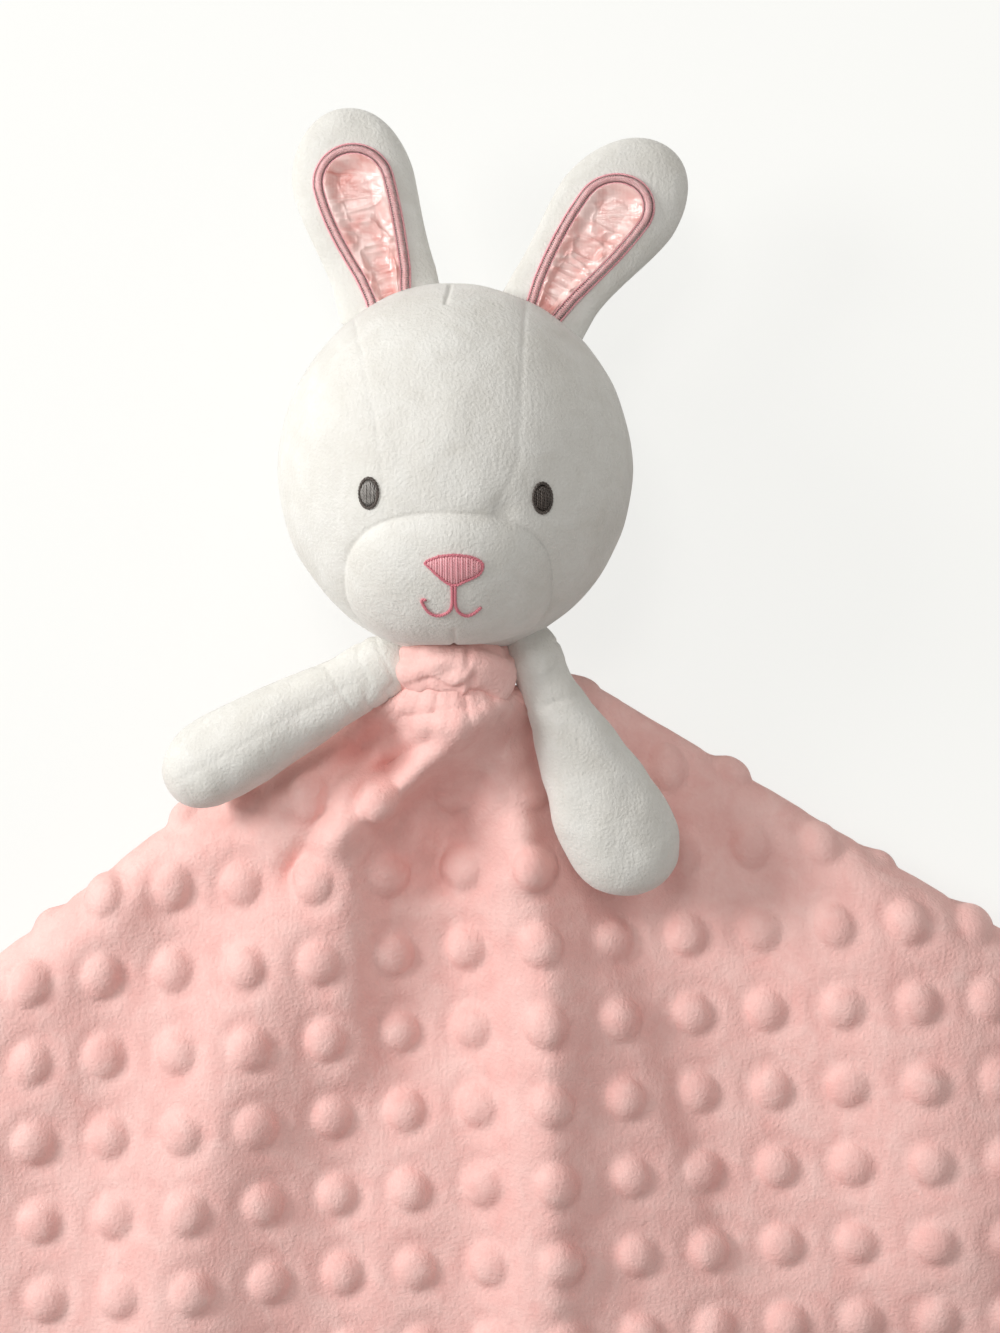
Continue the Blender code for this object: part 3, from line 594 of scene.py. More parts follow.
@dataclass(frozen=True)
class Finish:
    """One material: its colours, gloss and surface structure."""

    name: str
    slot: Slot
    grain: Grain
    base: Colour
    shade: Colour
    roughness: float
    grain_scale: float
    lump_scale: float
    bump_depth: float
    bump_strength: float = 0.6
    contrast: float = 1.6
    sheen: float = 0.0
    sheen_roughness: float = 0.5
    sheen_tint: Colour = (255, 255, 255)
    specular: float = 0.3
    anisotropy: float = 0.0

    def material(self) -> bpy.types.Material:
        """The material of this finish, built once."""
        found = bpy.data.materials.get(self.name)
        if found:
            return found
        made = bpy.data.materials.new(self.name)
        made.use_nodes = True
        bench = NodeBench(made.node_tree)
        shader = made.node_tree.nodes["Principled BSDF"]
        shader.inputs["Sheen Weight"].default_value = self.sheen
        shader.inputs["Sheen Roughness"].default_value = self.sheen_roughness
        shader.inputs["Sheen Tint"].default_value = linear(self.sheen_tint)
        shader.inputs["Specular IOR Level"].default_value = self.specular
        shader.inputs["Anisotropic"].default_value = self.anisotropy
        places = bench.node("ShaderNodeTexCoord")
        grain = bench.node("ShaderNodeGroup", node_tree=grain_group(self.grain))
        grain.inputs["Grain Scale"].default_value = self.grain_scale
        grain.inputs["Lump Scale"].default_value = self.lump_scale
        bench.link(places.outputs["Object"], grain.inputs["Vector"])
        tone = bench.node("ShaderNodeGroup", node_tree=tone_group())
        tone.inputs["Base"].default_value = linear(self.base)
        tone.inputs["Shade"].default_value = linear(self.shade)
        tone.inputs["Contrast"].default_value = self.contrast
        tone.inputs["Roughness"].default_value = self.roughness
        bench.link(grain.outputs["Mask"], tone.inputs["Mask"])
        bench.link(tone.outputs["Color"], shader.inputs["Base Color"])
        bench.link(tone.outputs["Roughness"], shader.inputs["Roughness"])
        relief = bench.node("ShaderNodeBump")
        relief.inputs["Strength"].default_value = self.bump_strength
        relief.inputs["Distance"].default_value = self.bump_depth
        bench.link(grain.outputs["Height"], relief.inputs["Height"])
        bench.link(relief.outputs["Normal"], shader.inputs["Normal"])
        return made

    def dress(self, obj: bpy.types.Object) -> bpy.types.Object:
        """Gives a piece this finish. Args: obj is the piece. Returns: the same piece."""
        obj.data.materials.clear()
        obj.data.materials.append(self.material())
        return obj


WHITE_PLUSH = Finish(
    name="white_velour_plush",
    slot=Slot.PLUSH,
    grain=Grain.PILE,
    base=(233, 232, 228),
    shade=(215, 212, 205),
    roughness=0.92,
    grain_scale=1300.0,
    lump_scale=110.0,
    bump_depth=0.0008,
    bump_strength=0.7,
    contrast=2.0,
    sheen=0.35,
    sheen_roughness=0.4,
)
PINK_MINKY = Finish(
    name="pink_minky_pile",
    slot=Slot.MINKY,
    grain=Grain.PILE,
    base=(252, 209, 203),
    shade=(240, 181, 175),
    roughness=0.9,
    grain_scale=1100.0,
    lump_scale=120.0,
    bump_depth=0.0009,
    bump_strength=0.75,
    contrast=2.2,
    sheen=0.45,
    sheen_roughness=0.35,
    sheen_tint=(255, 226, 222),
)
PINK_LINING = Finish(
    name="pink_lining_knit",
    slot=Slot.LINING,
    grain=Grain.KNIT,
    base=(243, 199, 196),
    shade=(233, 180, 177),
    roughness=0.8,
    grain_scale=260.0,
    lump_scale=60.0,
    bump_depth=0.0002,
    contrast=1.2,
    sheen=0.2,
)
# The satin's near-white base, laid on in blotches that partly follow the creases, is painted highlight
# standing for the lamps' reflection; the salmon shade is the satin's own pink.
PINK_SATIN = Finish(
    name="pink_crinkled_satin",
    slot=Slot.SATIN,
    grain=Grain.SATIN,
    base=(255, 222, 217),
    shade=(226, 148, 140),
    roughness=0.22,
    grain_scale=900.0,
    lump_scale=150.0,
    bump_depth=0.0008,
    bump_strength=0.6,
    contrast=3.6,
    specular=1.0,
    anisotropy=0.4,
    sheen=0.15,
    sheen_tint=(255, 230, 228),
)
PINK_THREAD = Finish(
    name="pink_embroidery_thread",
    slot=Slot.PINK_THREAD,
    grain=Grain.THREAD,
    base=(250, 190, 196),
    shade=(228, 142, 154),
    roughness=0.42,
    grain_scale=700.0,
    lump_scale=300.0,
    bump_depth=0.0002,
    contrast=1.8,
    specular=0.55,
    anisotropy=0.3,
    sheen=0.2,
)
ROSE_THREAD = Finish(
    name="rose_outline_thread",
    slot=Slot.PINK_THREAD,
    grain=Grain.THREAD,
    base=(228, 140, 152),
    shade=(204, 104, 122),
    roughness=0.45,
    grain_scale=700.0,
    lump_scale=300.0,
    bump_depth=0.0002,
    contrast=1.6,
    specular=0.5,
    sheen=0.2,
)
DARK_THREAD = Finish(
    name="dark_embroidery_thread",
    slot=Slot.DARK_THREAD,
    grain=Grain.THREAD,
    base=(96, 86, 80),
    shade=(48, 41, 37),
    roughness=0.38,
    grain_scale=700.0,
    lump_scale=500.0,
    bump_depth=0.0002,
    contrast=2.2,
    specular=0.6,
    anisotropy=0.3,
)
# The left eye's fill: the same dark eye thread painted grey, a painted sheen for the light that its stitches
# catch from the left.
SHEEN_PAINTED_THREAD = Finish(
    name="grey_embroidery_thread",
    slot=Slot.DARK_THREAD,
    grain=Grain.THREAD,
    base=(166, 162, 158),
    shade=(96, 92, 88),
    roughness=0.36,
    grain_scale=700.0,
    lump_scale=900.0,
    bump_depth=0.0002,
    contrast=3.0,
    specular=0.7,
)
# The border's zigzag: the pink thread painted paler, a painted highlight on the raised crest of the border.
HIGHLIGHT_PAINTED_THREAD = Finish(
    name="pale_pink_ridge_thread",
    slot=Slot.PINK_THREAD,
    grain=Grain.THREAD,
    base=(250, 208, 208),
    shade=(236, 164, 168),
    roughness=0.35,
    grain_scale=900.0,
    lump_scale=400.0,
    bump_depth=0.0002,
    contrast=1.8,
    specular=0.7,
    sheen=0.2,
)


@dataclass
class HeadCover:
    """The stuffed head: one padded ball with its sewn seams, the muzzle and the darts."""

    chin_to_middle: float = 0.0482
    half_width: float = 0.0440
    half_height: float = 0.0463
    half_depth: float = 0.0412
    rows: int = 300
    columns: int = 440
    seam_depth: float = 0.00038
    seam_half_width: float = 0.00060
    seam_puff: float = 0.00016
    puff_width: float = 0.0035
    muzzle_middle: tuple[float, float] = (-0.0012, -0.0285)
    muzzle_half: tuple[float, float] = (0.0252, 0.0155)
    muzzle_power: float = 2.5
    muzzle_bulge: float = 0.0056
    crown_dart: Outline = ((-0.0011, 0.0450), (-0.0013, 0.0428), (-0.0019, 0.0391))
    chin_dart: Outline = ((0.0, -0.0372), (-0.0001, -0.0452))
    dart_depth: float = 0.00055
    dart_half_width: float = 0.00055
    dimple: tuple[float, float] = (0.0124, -0.0122)
    dimple_depth: float = 0.0009
    dimple_width: float = 0.0032
    side_seam_drop: float = 0.0030
    lump_depth: float = 0.0007
    lump_size: float = 0.0150
    rest_height: float = 0.0002
    left_seam_shares: Outline = (
        (-0.57, 0.80), (-0.50, 0.56), (-0.44, 0.28), (-0.39, 0.00), (-0.37, -0.22), (-0.36, -0.44)
    )
    right_seam_shares: Outline = (
        (0.40, 0.92), (0.38, 0.50), (0.36, 0.10), (0.34, -0.04), (0.24, -0.25), (0.22, -0.44)
    )

    @property
    def middle(self) -> Points:
        """The middle of the stuffed ball, above the neck's pivot."""
        return NECK + np.array([0.0, self.chin_to_middle, 0.0])

    def size(self) -> Points:
        """Half the head's width, height and depth."""
        return np.array([self.half_width, self.half_height, self.half_depth])

    def muzzle_reach(self, flat: Points) -> Points:
        """How far places of the face lie out from the muzzle's middle, where 1 is on its seam.

        Args:
            flat: places across and up from the head's middle.

        Returns:
            The reach of each place.
        """
        shares = np.abs(flat - np.array(self.muzzle_middle)) / np.array(self.muzzle_half)
        return np.sum(shares**self.muzzle_power, axis=-1) ** (1.0 / self.muzzle_power)

    def muzzle_line(self) -> Points:
        """The muzzle's seam, as a ring of places across and up from the head's middle."""
        turn = np.linspace(0.0, 2.0 * np.pi, 121)[:-1]
        ring = np.stack([np.cos(turn), np.sin(turn)], axis=-1)
        ring = np.sign(ring) * np.abs(ring) ** (2.0 / self.muzzle_power)
        return ring * np.array(self.muzzle_half) + np.array(self.muzzle_middle)

    def gore_lines(self) -> list[Points]:
        """The two long seams of the face, down to the muzzle's seam."""
        lines = []
        for shares in (self.left_seam_shares, self.right_seam_shares):
            line = smooth_line(np.array(shares) * self.size()[:2], 6)
            lines.append(line[self.muzzle_reach(line) > 1.0])
        return lines

    def crease(self, away: Points) -> Points:
        """How far a seam draws the cover in, with a slight swell beside it.

        Args:
            away: distances from the seam.

        Returns:
            Depths, where less than zero swells out.
        """
        swell = self.seam_puff * bump((away - self.puff_width) / self.puff_width)
        return self.seam_depth * bump(away / self.seam_half_width) - swell

    def drawn_in(self, ball: Points, unit: Points, front: Points) -> Points:
        """How far the seams, darts and soft lumps lower the cover.

        Args:
            ball: places on the plain ball, from the head's middle.
            unit: their directions.
            front: 1 where the cover faces the viewer, 0 behind.

        Returns:
            One depth for each place.
        """
        flat = ball[..., :2]
        reach = self.muzzle_reach(flat)
        over_nose = 0.45 + 0.55 * ease((flat[..., 1] - self.muzzle_middle[1]) / 0.008 - 0.3)
        depth = self.crease(distance_to_line(flat, self.muzzle_line(), True)) * front * over_nose
        for line in self.gore_lines():
            faint = 0.40 + 0.35 * ease((flat[..., 1] - 0.4 * self.half_height) / (0.5 * self.half_height))
            depth += self.crease(distance_to_line(flat, line)) * front * ease((reach - 1.0) / 0.04) * faint
        for dart in (self.crown_dart, self.chin_dart):
            away = distance_to_line(flat, np.array(dart))
            depth += self.dart_depth * bump(away / self.dart_half_width) * front
        away = np.linalg.norm(flat - np.array(self.dimple), axis=-1)
        depth += self.dimple_depth * bump(away / self.dimple_width) * front
        behind = ease((-unit[..., 2] - 0.02) / 0.10)
        depth += self.crease(np.abs(ball[..., 0])) * behind
        at_side = ease((np.abs(unit[..., 0]) - 0.18) / 0.2)
        depth += self.crease(np.abs(ball[..., 2] + self.side_seam_drop)) * at_side
        soft = lumps(ball, self.lump_size, 11) * 0.7 + lumps(ball, self.lump_size * 0.45, 12) * 0.3
        return depth - soft * self.lump_depth

    def shape(self, unit: Points) -> Points:
        """The places of the cover's surface.

        Args:
            unit: directions from the head's middle, one row of three for each.

        Returns:
            The places, in the scene.
        """
        ball = unit * self.size()
        normals = unit / self.size()
        normals /= np.linalg.norm(normals, axis=-1, keepdims=True)
        front = ease((unit[..., 2] + 0.05) / 0.30)
        reach = self.muzzle_reach(ball[..., :2])
        rise = self.muzzle_bulge * np.clip(1.0 - reach**2.2, 0.0, 1.0) ** 0.8 * front
        depth = self.drawn_in(ball, unit, front)
        places = ball + normals * (rise - depth)[..., None] + np.array(self.middle)
        places[..., 2] = np.maximum(places[..., 2], self.rest_height)
        return places

    def build(self) -> bpy.types.Object:
        """Makes the cover and sets it in place of the head's solids. Returns: the cover."""
        polar = np.linspace(0.0, np.pi, self.rows + 2)[1:-1, None]
        around = (2.0 * np.pi * np.arange(self.columns) / self.columns)[None, :]
        unit = np.stack(
            [
                np.sin(polar) * np.cos(around),
                np.cos(polar) + 0.0 * around,
                np.sin(polar) * np.sin(around),
            ],
            axis=-1,
        )
        cover = grid_object("head_cover", self.shape(unit), True, capped=True)
        face_outward(cover)
        WHITE_PLUSH.dress(cover)
        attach(cover, "head")
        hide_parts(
            "head_stuffing",
            "forehead_panel",
            "face_panel_left",
            "face_panel_right",
            "muzzle_panel",
            "head_back_left",
            "head_back_right",
        )
        return cover

    def over_face(self, flat: Points, lift: float | Points) -> Points:
        """The places above the front of the cover over points of the face.

        Args:
            flat: places across and up from the head's middle.
            lift: how far above the cover, one value or one for each place.

        Returns:
            The places, in the scene.
        """
        aim = np.array(flat, float)
        for _ in range(10):
            shares = aim / self.size()[:2]
            height = np.sqrt(np.clip(1.0 - np.sum(shares**2, axis=-1), 0.0, 1.0))
            unit = np.concatenate([shares, height[..., None]], axis=-1)
            places = self.shape(unit)
            aim = aim + flat - (places - np.array(self.middle))[..., :2]
        normals = unit / self.size()
        normals /= np.linalg.norm(normals, axis=-1, keepdims=True)
        return places + normals * np.asarray(lift)[..., None]


@dataclass
class Embroidery:
    """The stitched eyes, nose and mouth on the head cover."""

    head: HeadCover
    thread: float = 0.00026
    nose_thread: float = 0.00036
    outline_thread: float = 0.00030
    lift: float = 0.0006
    eye_half: tuple[float, float] = (0.0022, 0.0035)
    left_eye: tuple[float, float] = (-0.0200, -0.0078)
    right_eye: tuple[float, float] = (0.0213, -0.0089)
    nose_foot: tuple[float, float] = (0.0002, -0.0298)
    nose_right_side: Outline = ((0.0067, -0.0243), (0.0071, -0.0255), (0.0061, -0.0273), (0.0030, -0.0288))
    nose_left_side: Outline = ((-0.0025, -0.0284), (-0.0057, -0.0254), (-0.0063, -0.0243))
    nose_top: Outline = ((-0.0032, -0.0230), (0.0006, -0.0227), (0.0045, -0.0232))
    stem_end: float = -0.0341
    strand_gap: float = 0.0004
    twist_pitch: float = 0.0016
    left_curl: Outline = (
        (-0.0010, -0.0359), (-0.0034, -0.0369), (-0.0056, -0.0362), (-0.0069, -0.0346), (-0.0074, -0.0333),
        (-0.0064, -0.0331),
    )
    right_curl: Outline = ((0.0014, -0.0360), (0.0032, -0.0369), (0.0050, -0.0363), (0.0067, -0.0349))

    def satin_stitch(self, name: str, outline: Points, finish: Finish, thread: float) -> bpy.types.Object:
        """Upright stitches side by side, filling an outline.

        Args:
            name: the piece's name.
            outline: the outline's corners, across and up from the head's middle.
            finish: the thread's finish.
            thread: the radius of one stitch.

        Returns:
            The stitches.
        """
        left, right = outline[:, 0].min(), outline[:, 0].max()
        count = int((right - left) / (1.6 * thread))
        ring = np.vstack([outline, outline[:1]])
        routes = []
        for index in range(count):
            share = (index + 0.5) / count
            x = mix(left, right, share)
            heights = []
            for start, end in zip(ring[:-1], ring[1:]):
                if (start[0] > x) != (end[0] > x):
                    heights.append(start[1] + (end[1] - start[1]) * (x - start[0]) / (end[0] - start[0]))
            along = np.linspace(0.0, 1.0, 9)
            flat = np.stack([np.full(9, x), mix(min(heights), max(heights), along)], axis=-1)
            crown = (0.35 + 0.65 * math.sqrt(math.sin(math.pi * share))) * (1.0 + 0.25 * (index % 2))
            arch = np.sqrt(np.sin(np.pi * along) + 0.01)
            routes.append(self.head.over_face(flat, self.lift * crown * arch))
        stitches = tubes_object(name, routes, [thread] * len(routes), 6, False)
        return finish.dress(stitches)

    def outline(
        self, name: str, route: Points, closed: bool, finish: Finish, strands: int = 2
    ) -> bpy.types.Object:
        """A cord of two or three twisted strands along a line on the face.

        Args:
            name: the piece's name.
            route: the line's points, across and up from the head's middle.
            closed: whether it is a ring.
            finish: the thread's finish.
            strands: how many strands are twisted together.

        Returns:
            The cord.
        """
        middle = self.head.over_face(route, self.outline_thread)
        steps = np.linalg.norm(np.diff(middle, axis=0, append=middle[:1] if closed else middle[-1:]), axis=-1)
        run = np.concatenate([[0.0], np.cumsum(steps)[:-1]])
        length = float(steps.sum())
        turns = max(round(length / self.twist_pitch), 1)
        tangents = np.gradient(middle, axis=0)
        if closed:
            tangents = np.roll(middle, -1, axis=0) - np.roll(middle, 1, axis=0)
        tangents /= np.linalg.norm(tangents, axis=-1, keepdims=True)
        out = middle - np.array(self.head.middle)
        side = np.cross(tangents, out)
        side /= np.linalg.norm(side, axis=-1, keepdims=True)
        rise = np.cross(side, tangents)
        routes = []
        for strand in range(strands):
            turn = 2.0 * np.pi * (run / length * turns + strand / strands)
            sway = np.cos(turn)[:, None] * side + 0.6 * np.sin(turn)[:, None] * rise
            routes.append(middle + 0.75 * self.thread * sway)
        cord = tubes_object(name, routes, [self.thread] * strands, 7, closed)
        return finish.dress(cord)

    def eye(self, name: str, place: tuple[float, float], fill: Finish) -> list[bpy.types.Object]:
        """One eye: a filled upright oval in a ring of stitches.

        Args:
            name: the node that it stands for.
            place: its middle, across and up from the head's middle.
            fill: the finish of the stitches inside the ring.

        Returns:
            The stitches and their ring.
        """
        turn = 2.0 * np.pi * np.arange(72) / 72
        oval = np.array(place) + np.stack([np.cos(turn), np.sin(turn)], axis=-1) * np.array(self.eye_half)
        inner = np.array(place) + (oval - np.array(place)) * 0.86
        stitches = self.satin_stitch(name + "_stitches", inner, fill, self.thread)
        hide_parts(name)
        ring = self.outline(name + "_ring", oval, True, DARK_THREAD)
        return [stitches, ring]

    def nose(self) -> list[bpy.types.Object]:
        """The nose: a rounded triangle of pale stitches with a darker outline. Returns: its pieces."""
        sides = [*self.nose_right_side, self.nose_foot, *self.nose_left_side]
        corners = [*self.nose_top, *sides, self.nose_top[0]]
        line = smooth_line(corners, 8)[:-1]
        middle = line.mean(axis=0)
        inner = middle + (line - middle) * 0.93
        stitches = self.satin_stitch("nose_stitches", inner, PINK_THREAD, self.nose_thread)
        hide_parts("nose_embroidery")
        ring = self.outline("nose_outline", line, True, ROSE_THREAD)
        return [stitches, ring]

    def mouth(self) -> list[bpy.types.Object]:
        """The mouth: a stem of two cords that part into curls. Returns: the two cords."""
        x, top = self.nose_foot
        gap = self.strand_gap
        left = [(x - gap, top), (x - gap, self.stem_end), *self.left_curl]
        right = [(x + gap, top), (x + gap, self.stem_end), *self.right_curl]
        pieces = []
        for name, corners in (("mouth_curl_left", left), ("mouth_curl_right", right)):
            pieces.append(self.outline(name, smooth_line(corners, 12), False, ROSE_THREAD))
        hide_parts("mouth_embroidery")
        return pieces

    def build(self) -> list[bpy.types.Object]:
        """Makes all the face's stitches and sets them on the head. Returns: the pieces."""
        # The left eye's fill is painted grey as a sheen of light; the right eye shows the plain dark thread.
        pieces = self.eye("eye_left", self.left_eye, SHEEN_PAINTED_THREAD)
        pieces += self.eye("eye_right", self.right_eye, DARK_THREAD)
        pieces += self.nose() + self.mouth()
        for piece in pieces:
            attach(piece, "head")
        return pieces


@dataclass
class NeckSleeve:
    """The stuffed neck under the chin, which joins the gathered cloth to the head."""

    start: float = -0.0050
    end: float = 0.0150
    blend_end: float = 0.0050
    radius: float = 0.0088
    rows: int = 30
    columns: int = 48
    wrinkles: int = 9
    wrinkle_depth: float = 0.0004

    def build(self) -> bpy.types.Object:
        """Makes the sleeve round the neck, in place of the neck's stuffing. Returns: the sleeve."""
        share = np.linspace(0.0, 1.0, self.rows)[:, None]
        turn = (2.0 * np.pi * np.arange(self.columns) / self.columns)[None, :]
        radius = self.radius * np.sqrt(np.clip(1.0 - (2.0 * share - 1.0) ** 6, 0.02, 1.0))
        radius = radius - self.wrinkle_depth * (0.5 + 0.5 * np.cos(self.wrinkles * turn + 2.0 * share))
        grid = np.stack(
            [
                radius * np.cos(turn),
                mix(self.start, self.end, share) + 0.0 * turn,
                radius * np.sin(turn),
            ],
            axis=-1,
        )
        sleeve = grid_object("neck_sleeve", NECK + grid, True, capped=True)
        face_outward(sleeve)
        WHITE_PLUSH.dress(sleeve)
        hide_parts("neck_stuffing")
        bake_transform(sleeve)
        return sleeve


@dataclass
class Placement:
    """Where a limb starts and which way it runs."""

    origin: tuple[float, float, float]
    across: tuple[float, float, float]
    along: tuple[float, float, float]
    out: tuple[float, float, float]

    def place(self, local: Points) -> Points:
        """Moves points of the limb's own frame into the scene. Args: local. Returns: the places."""
        axes = np.array([self.across, self.along, self.out])
        return local @ axes + np.array(self.origin)


@dataclass
class Ear:
    """One ear: a padded plush blade with a satin patch inside a stitched border."""

    side: str
    placement: Placement
    seed: int
    length: float
    half_width: float = 0.0156
    root_half_width: float = 0.0118
    half_depth: float = 0.0078
    root_half_depth: float = 0.0056
    sunk: float = 0.0120
    foot: float = -0.0095
    rows: int = 160
    columns: int = 150
    satin_half: float = 0.0067
    satin_root_half: float = 0.0034
    satin_rim: float = 0.0134
    tip_power: float = 2.05
    tip_share: float = 1.38
    bend: float = 0.0
    bow: float = 0.0

    def half_width_at(self, y: Points) -> Points:
        """Half the ear's width at this distance from its root."""
        share = np.clip(y / self.length, 0.0, 1.0)
        width = mix(self.root_half_width, self.half_width, ease(share / 0.62))
        tip_start = self.length - self.half_width * self.tip_share
        tip = np.clip((y - tip_start) / (self.length - tip_start), 0.0, 1.0)
        return width * np.clip(1.0 - tip**self.tip_power, 0.0, 1.0) ** (1.0 / self.tip_power)

    def half_depth_at(self, y: Points) -> Points:
        """Half the ear's thickness at this distance from its root."""
        share = np.clip(y / self.length, 0.0, 1.0)
        depth = mix(self.root_half_depth, self.half_depth, ease(share / 0.6))
        return depth * np.clip(1.0 - share**5.0, 0.0, 1.0) ** 0.5

    def front(self, flat: Points) -> Points:
        """How far the front face stands out of the ear's middle plane.

        Args:
            flat: places across and along the ear.

        Returns:
            One height for each place.
        """
        x, y = flat[..., 0], flat[..., 1]
        width = np.maximum(self.half_width_at(y), NEAR_ZERO)
        edge = np.sqrt(np.clip(1.0 - (x / width) ** 2, 0.0, 1.0))
        height = self.half_depth_at(y) * edge**0.8
        dish = 0.28 * self.half_depth_at(y) * ease((1.05 - self.satin_reach(flat)) / 0.6)
        return height - dish

    def satin_widening(self, y: Points | float) -> Points:
        """How far the satin patch has widened at y: 0 at the root seam, 1 at its full width."""
        corner = self.length - self.satin_rim - self.satin_half
        return np.sin(0.5 * np.pi * np.clip(y / corner, -0.25, 1.0))

    def satin_outline(self, growth: float, count: int = 44) -> Points:
        """The open line round the satin patch, from one foot over the tip to the other.

        Args:
            growth: how far outside the patch's edge it runs.
            count: how many points it has.

        Returns:
            Places across and along the ear.
        """
        share = np.linspace(-1.0, 1.0, count)
        top = self.length - self.satin_rim
        corner = top - self.satin_half
        points = []
        for value in share:
            reach = abs(value)
            if reach > 0.42:
                y = mix(corner, self.foot, (reach - 0.42) / 0.58)
                half = mix(self.satin_root_half, self.satin_half, self.satin_widening(y)) + growth
                points.append((math.copysign(half, value), y))
            else:
                turn = reach / 0.42 * math.pi / 2.0
                half = self.satin_half + growth
                points.append((math.copysign(half * math.sin(turn), value), corner + half * math.cos(turn)))
        return np.array(points)

    def satin_reach(self, flat: Points) -> Points:
        """How far places lie out from the patch's spine, where 1 is on its edge.

        Args:
            flat: places across and along the ear.

        Returns:
            The reach of each place.
        """
        corner = self.length - self.satin_rim - self.satin_half
        y = flat[..., 1]
        half = mix(self.satin_root_half, self.satin_half, self.satin_widening(y))
        return np.hypot(flat[..., 0], np.maximum(y - corner, 0.0)) / half

    def put(self, local: Points) -> Points:
        """Moves points of the straight ear onto the bent one. Args: local holds them. Returns: the places."""
        bent = local.copy()
        share = np.clip(local[..., 1] / self.length, 0.0, 1.0)
        bent[..., 0] += self.bend * share**1.5 + self.bow * np.sin(np.pi * share)
        return self.placement.place(bent)

    def skin(self) -> bpy.types.Object:
        """The padded plush blade. Returns: the blade, closed and rounded at both ends."""
        share = np.linspace(0.0, 1.0, self.rows)
        y = mix(-self.sunk, self.length - 0.00005, 1.0 - (1.0 - share) ** 1.35)[:, None]
        turn = (2.0 * np.pi * np.arange(self.columns) / self.columns)[None, :]
        foot = np.clip((y + self.sunk) / 0.0040, 0.0, 1.0)
        closing = np.sqrt(np.clip(1.0 - (1.0 - foot) ** 2, 0.05, 1.0))
        width = np.maximum(self.half_width_at(y), 0.0001) * closing
        x = width * np.cos(turn)
        flat = np.stack([x, y + 0.0 * turn], axis=-1)
        rear = -self.half_depth_at(y) * np.abs(np.sin(turn)) ** 0.8
        height = np.where(np.sin(turn) >= 0.0, self.front(flat), rear) * closing
        local = np.stack([x, y + 0.0 * turn, height], axis=-1)
        seam = bump(height / 0.0009) * (np.abs(np.cos(turn)) > 0.5)
        soft = lumps(local, 0.011, self.seed) * 0.7 + lumps(local, 0.005, self.seed + 1) * 0.3
        local[..., 0] -= np.sign(x) * 0.0005 * seam
        under_satin = (local[..., 2] > 0.0) * ease((1.15 - self.satin_reach(flat)) / 0.3)
        local[..., 2] += 0.0006 * soft * np.sign(np.sin(turn) + NEAR_ZERO) * closing * (1.0 - under_satin)
        local[..., 2] -= 0.0006 * under_satin * closing
        blade = grid_object(f"ear_{self.side}_plush", self.put(local), True, capped=True)
        face_outward(blade)
        WHITE_PLUSH.dress(blade)
        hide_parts(*(f"ear_{self.side}_{part}" for part in ("front_skin", "back_skin", "wadding")))
        return blade

    def satin_height(self, flat: Points) -> Points:
        """How high the satin's creases stand over the plush at each place of the patch."""
        y = flat[..., 1]
        places = np.concatenate([flat, np.zeros(flat.shape[:-1] + (1,))], axis=-1)
        low = ease((self.length - self.satin_rim - self.satin_half - y + 0.004) / 0.016)
        soft = lumps(places, 0.0085, self.seed + 3)
        turned = places[..., ::-1] * np.array([0.0, 1.35, 0.8]) + places * 0.35
        creases = 1.0 - np.abs(lumps(turned, 0.0060, self.seed + 4))
        crossing = 1.0 - np.abs(lumps(places * np.array([0.7, 1.5, 1.0]), 0.0047, self.seed + 5))
        relief = 0.00035 * soft + creases**4 * mix(0.00018, 0.0007, low)
        relief += crossing**5 * mix(0.00008, 0.0006, low)
        edge = ease((1.0 - self.satin_reach(flat)) / 0.25)
        return relief * edge + 0.0004

    def satin_half_at(self, y: Points) -> Points:
        """Half the satin patch's width at this distance from the ear's root."""
        corner = self.length - self.satin_rim - self.satin_half
        half = mix(self.satin_root_half, self.satin_half, self.satin_widening(y))
        over = np.maximum(y - corner, 0.0) / self.satin_half
        return half * np.sqrt(np.clip(1.0 - over**2, 0.0004, 1.0))

    def satin(self) -> bpy.types.Object:
        """The satin patch, creased across its lower half. Returns: the patch as a thin closed cloth."""
        rows, columns = 150, 70
        y = np.linspace(self.foot, self.length - self.satin_rim - 0.00005, rows)[:, None]
        x = self.satin_half_at(y) * np.linspace(-1.0, 1.0, columns)[None, :]
        flat = np.stack([x, y + 0.0 * x], axis=-1)
        upper = np.stack([flat[..., 0], flat[..., 1], self.front(flat) + self.satin_height(flat)], axis=-1)
        lower = np.stack([flat[..., 0], flat[..., 1], self.front(flat) - 0.0006], axis=-1)
        ring = np.concatenate([upper, lower[:, ::-1]], axis=1)
        patch = grid_object(f"ear_{self.side}_satin_patch", self.put(ring), True, capped=True)
        face_outward(patch)
        PINK_SATIN.dress(patch)
        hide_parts(f"ear_{self.side}_satin")
        return patch

    def border(self) -> list[bpy.types.Object]:
        """The border: a ridge of zigzag stitches, painted paler as a highlight on its crest, between two
        cords of the plain, darker pink thread. Returns: its pieces.
        """
        pieces = []
        for name, growth, radius, finish in (
            ("inner_cord", 0.0001, 0.00026, PINK_THREAD),
            ("outer_cord", 0.0026, 0.00028, PINK_THREAD),
        ):
            line = self.satin_outline(growth, 130)
            height = self.front(line) + 0.55 * radius
            route = self.put(np.concatenate([line, height[:, None]], axis=-1))
            cord = tubes_object(f"ear_{self.side}_{name}", [route], [radius], 8, False)
            pieces.append(finish.dress(cord))
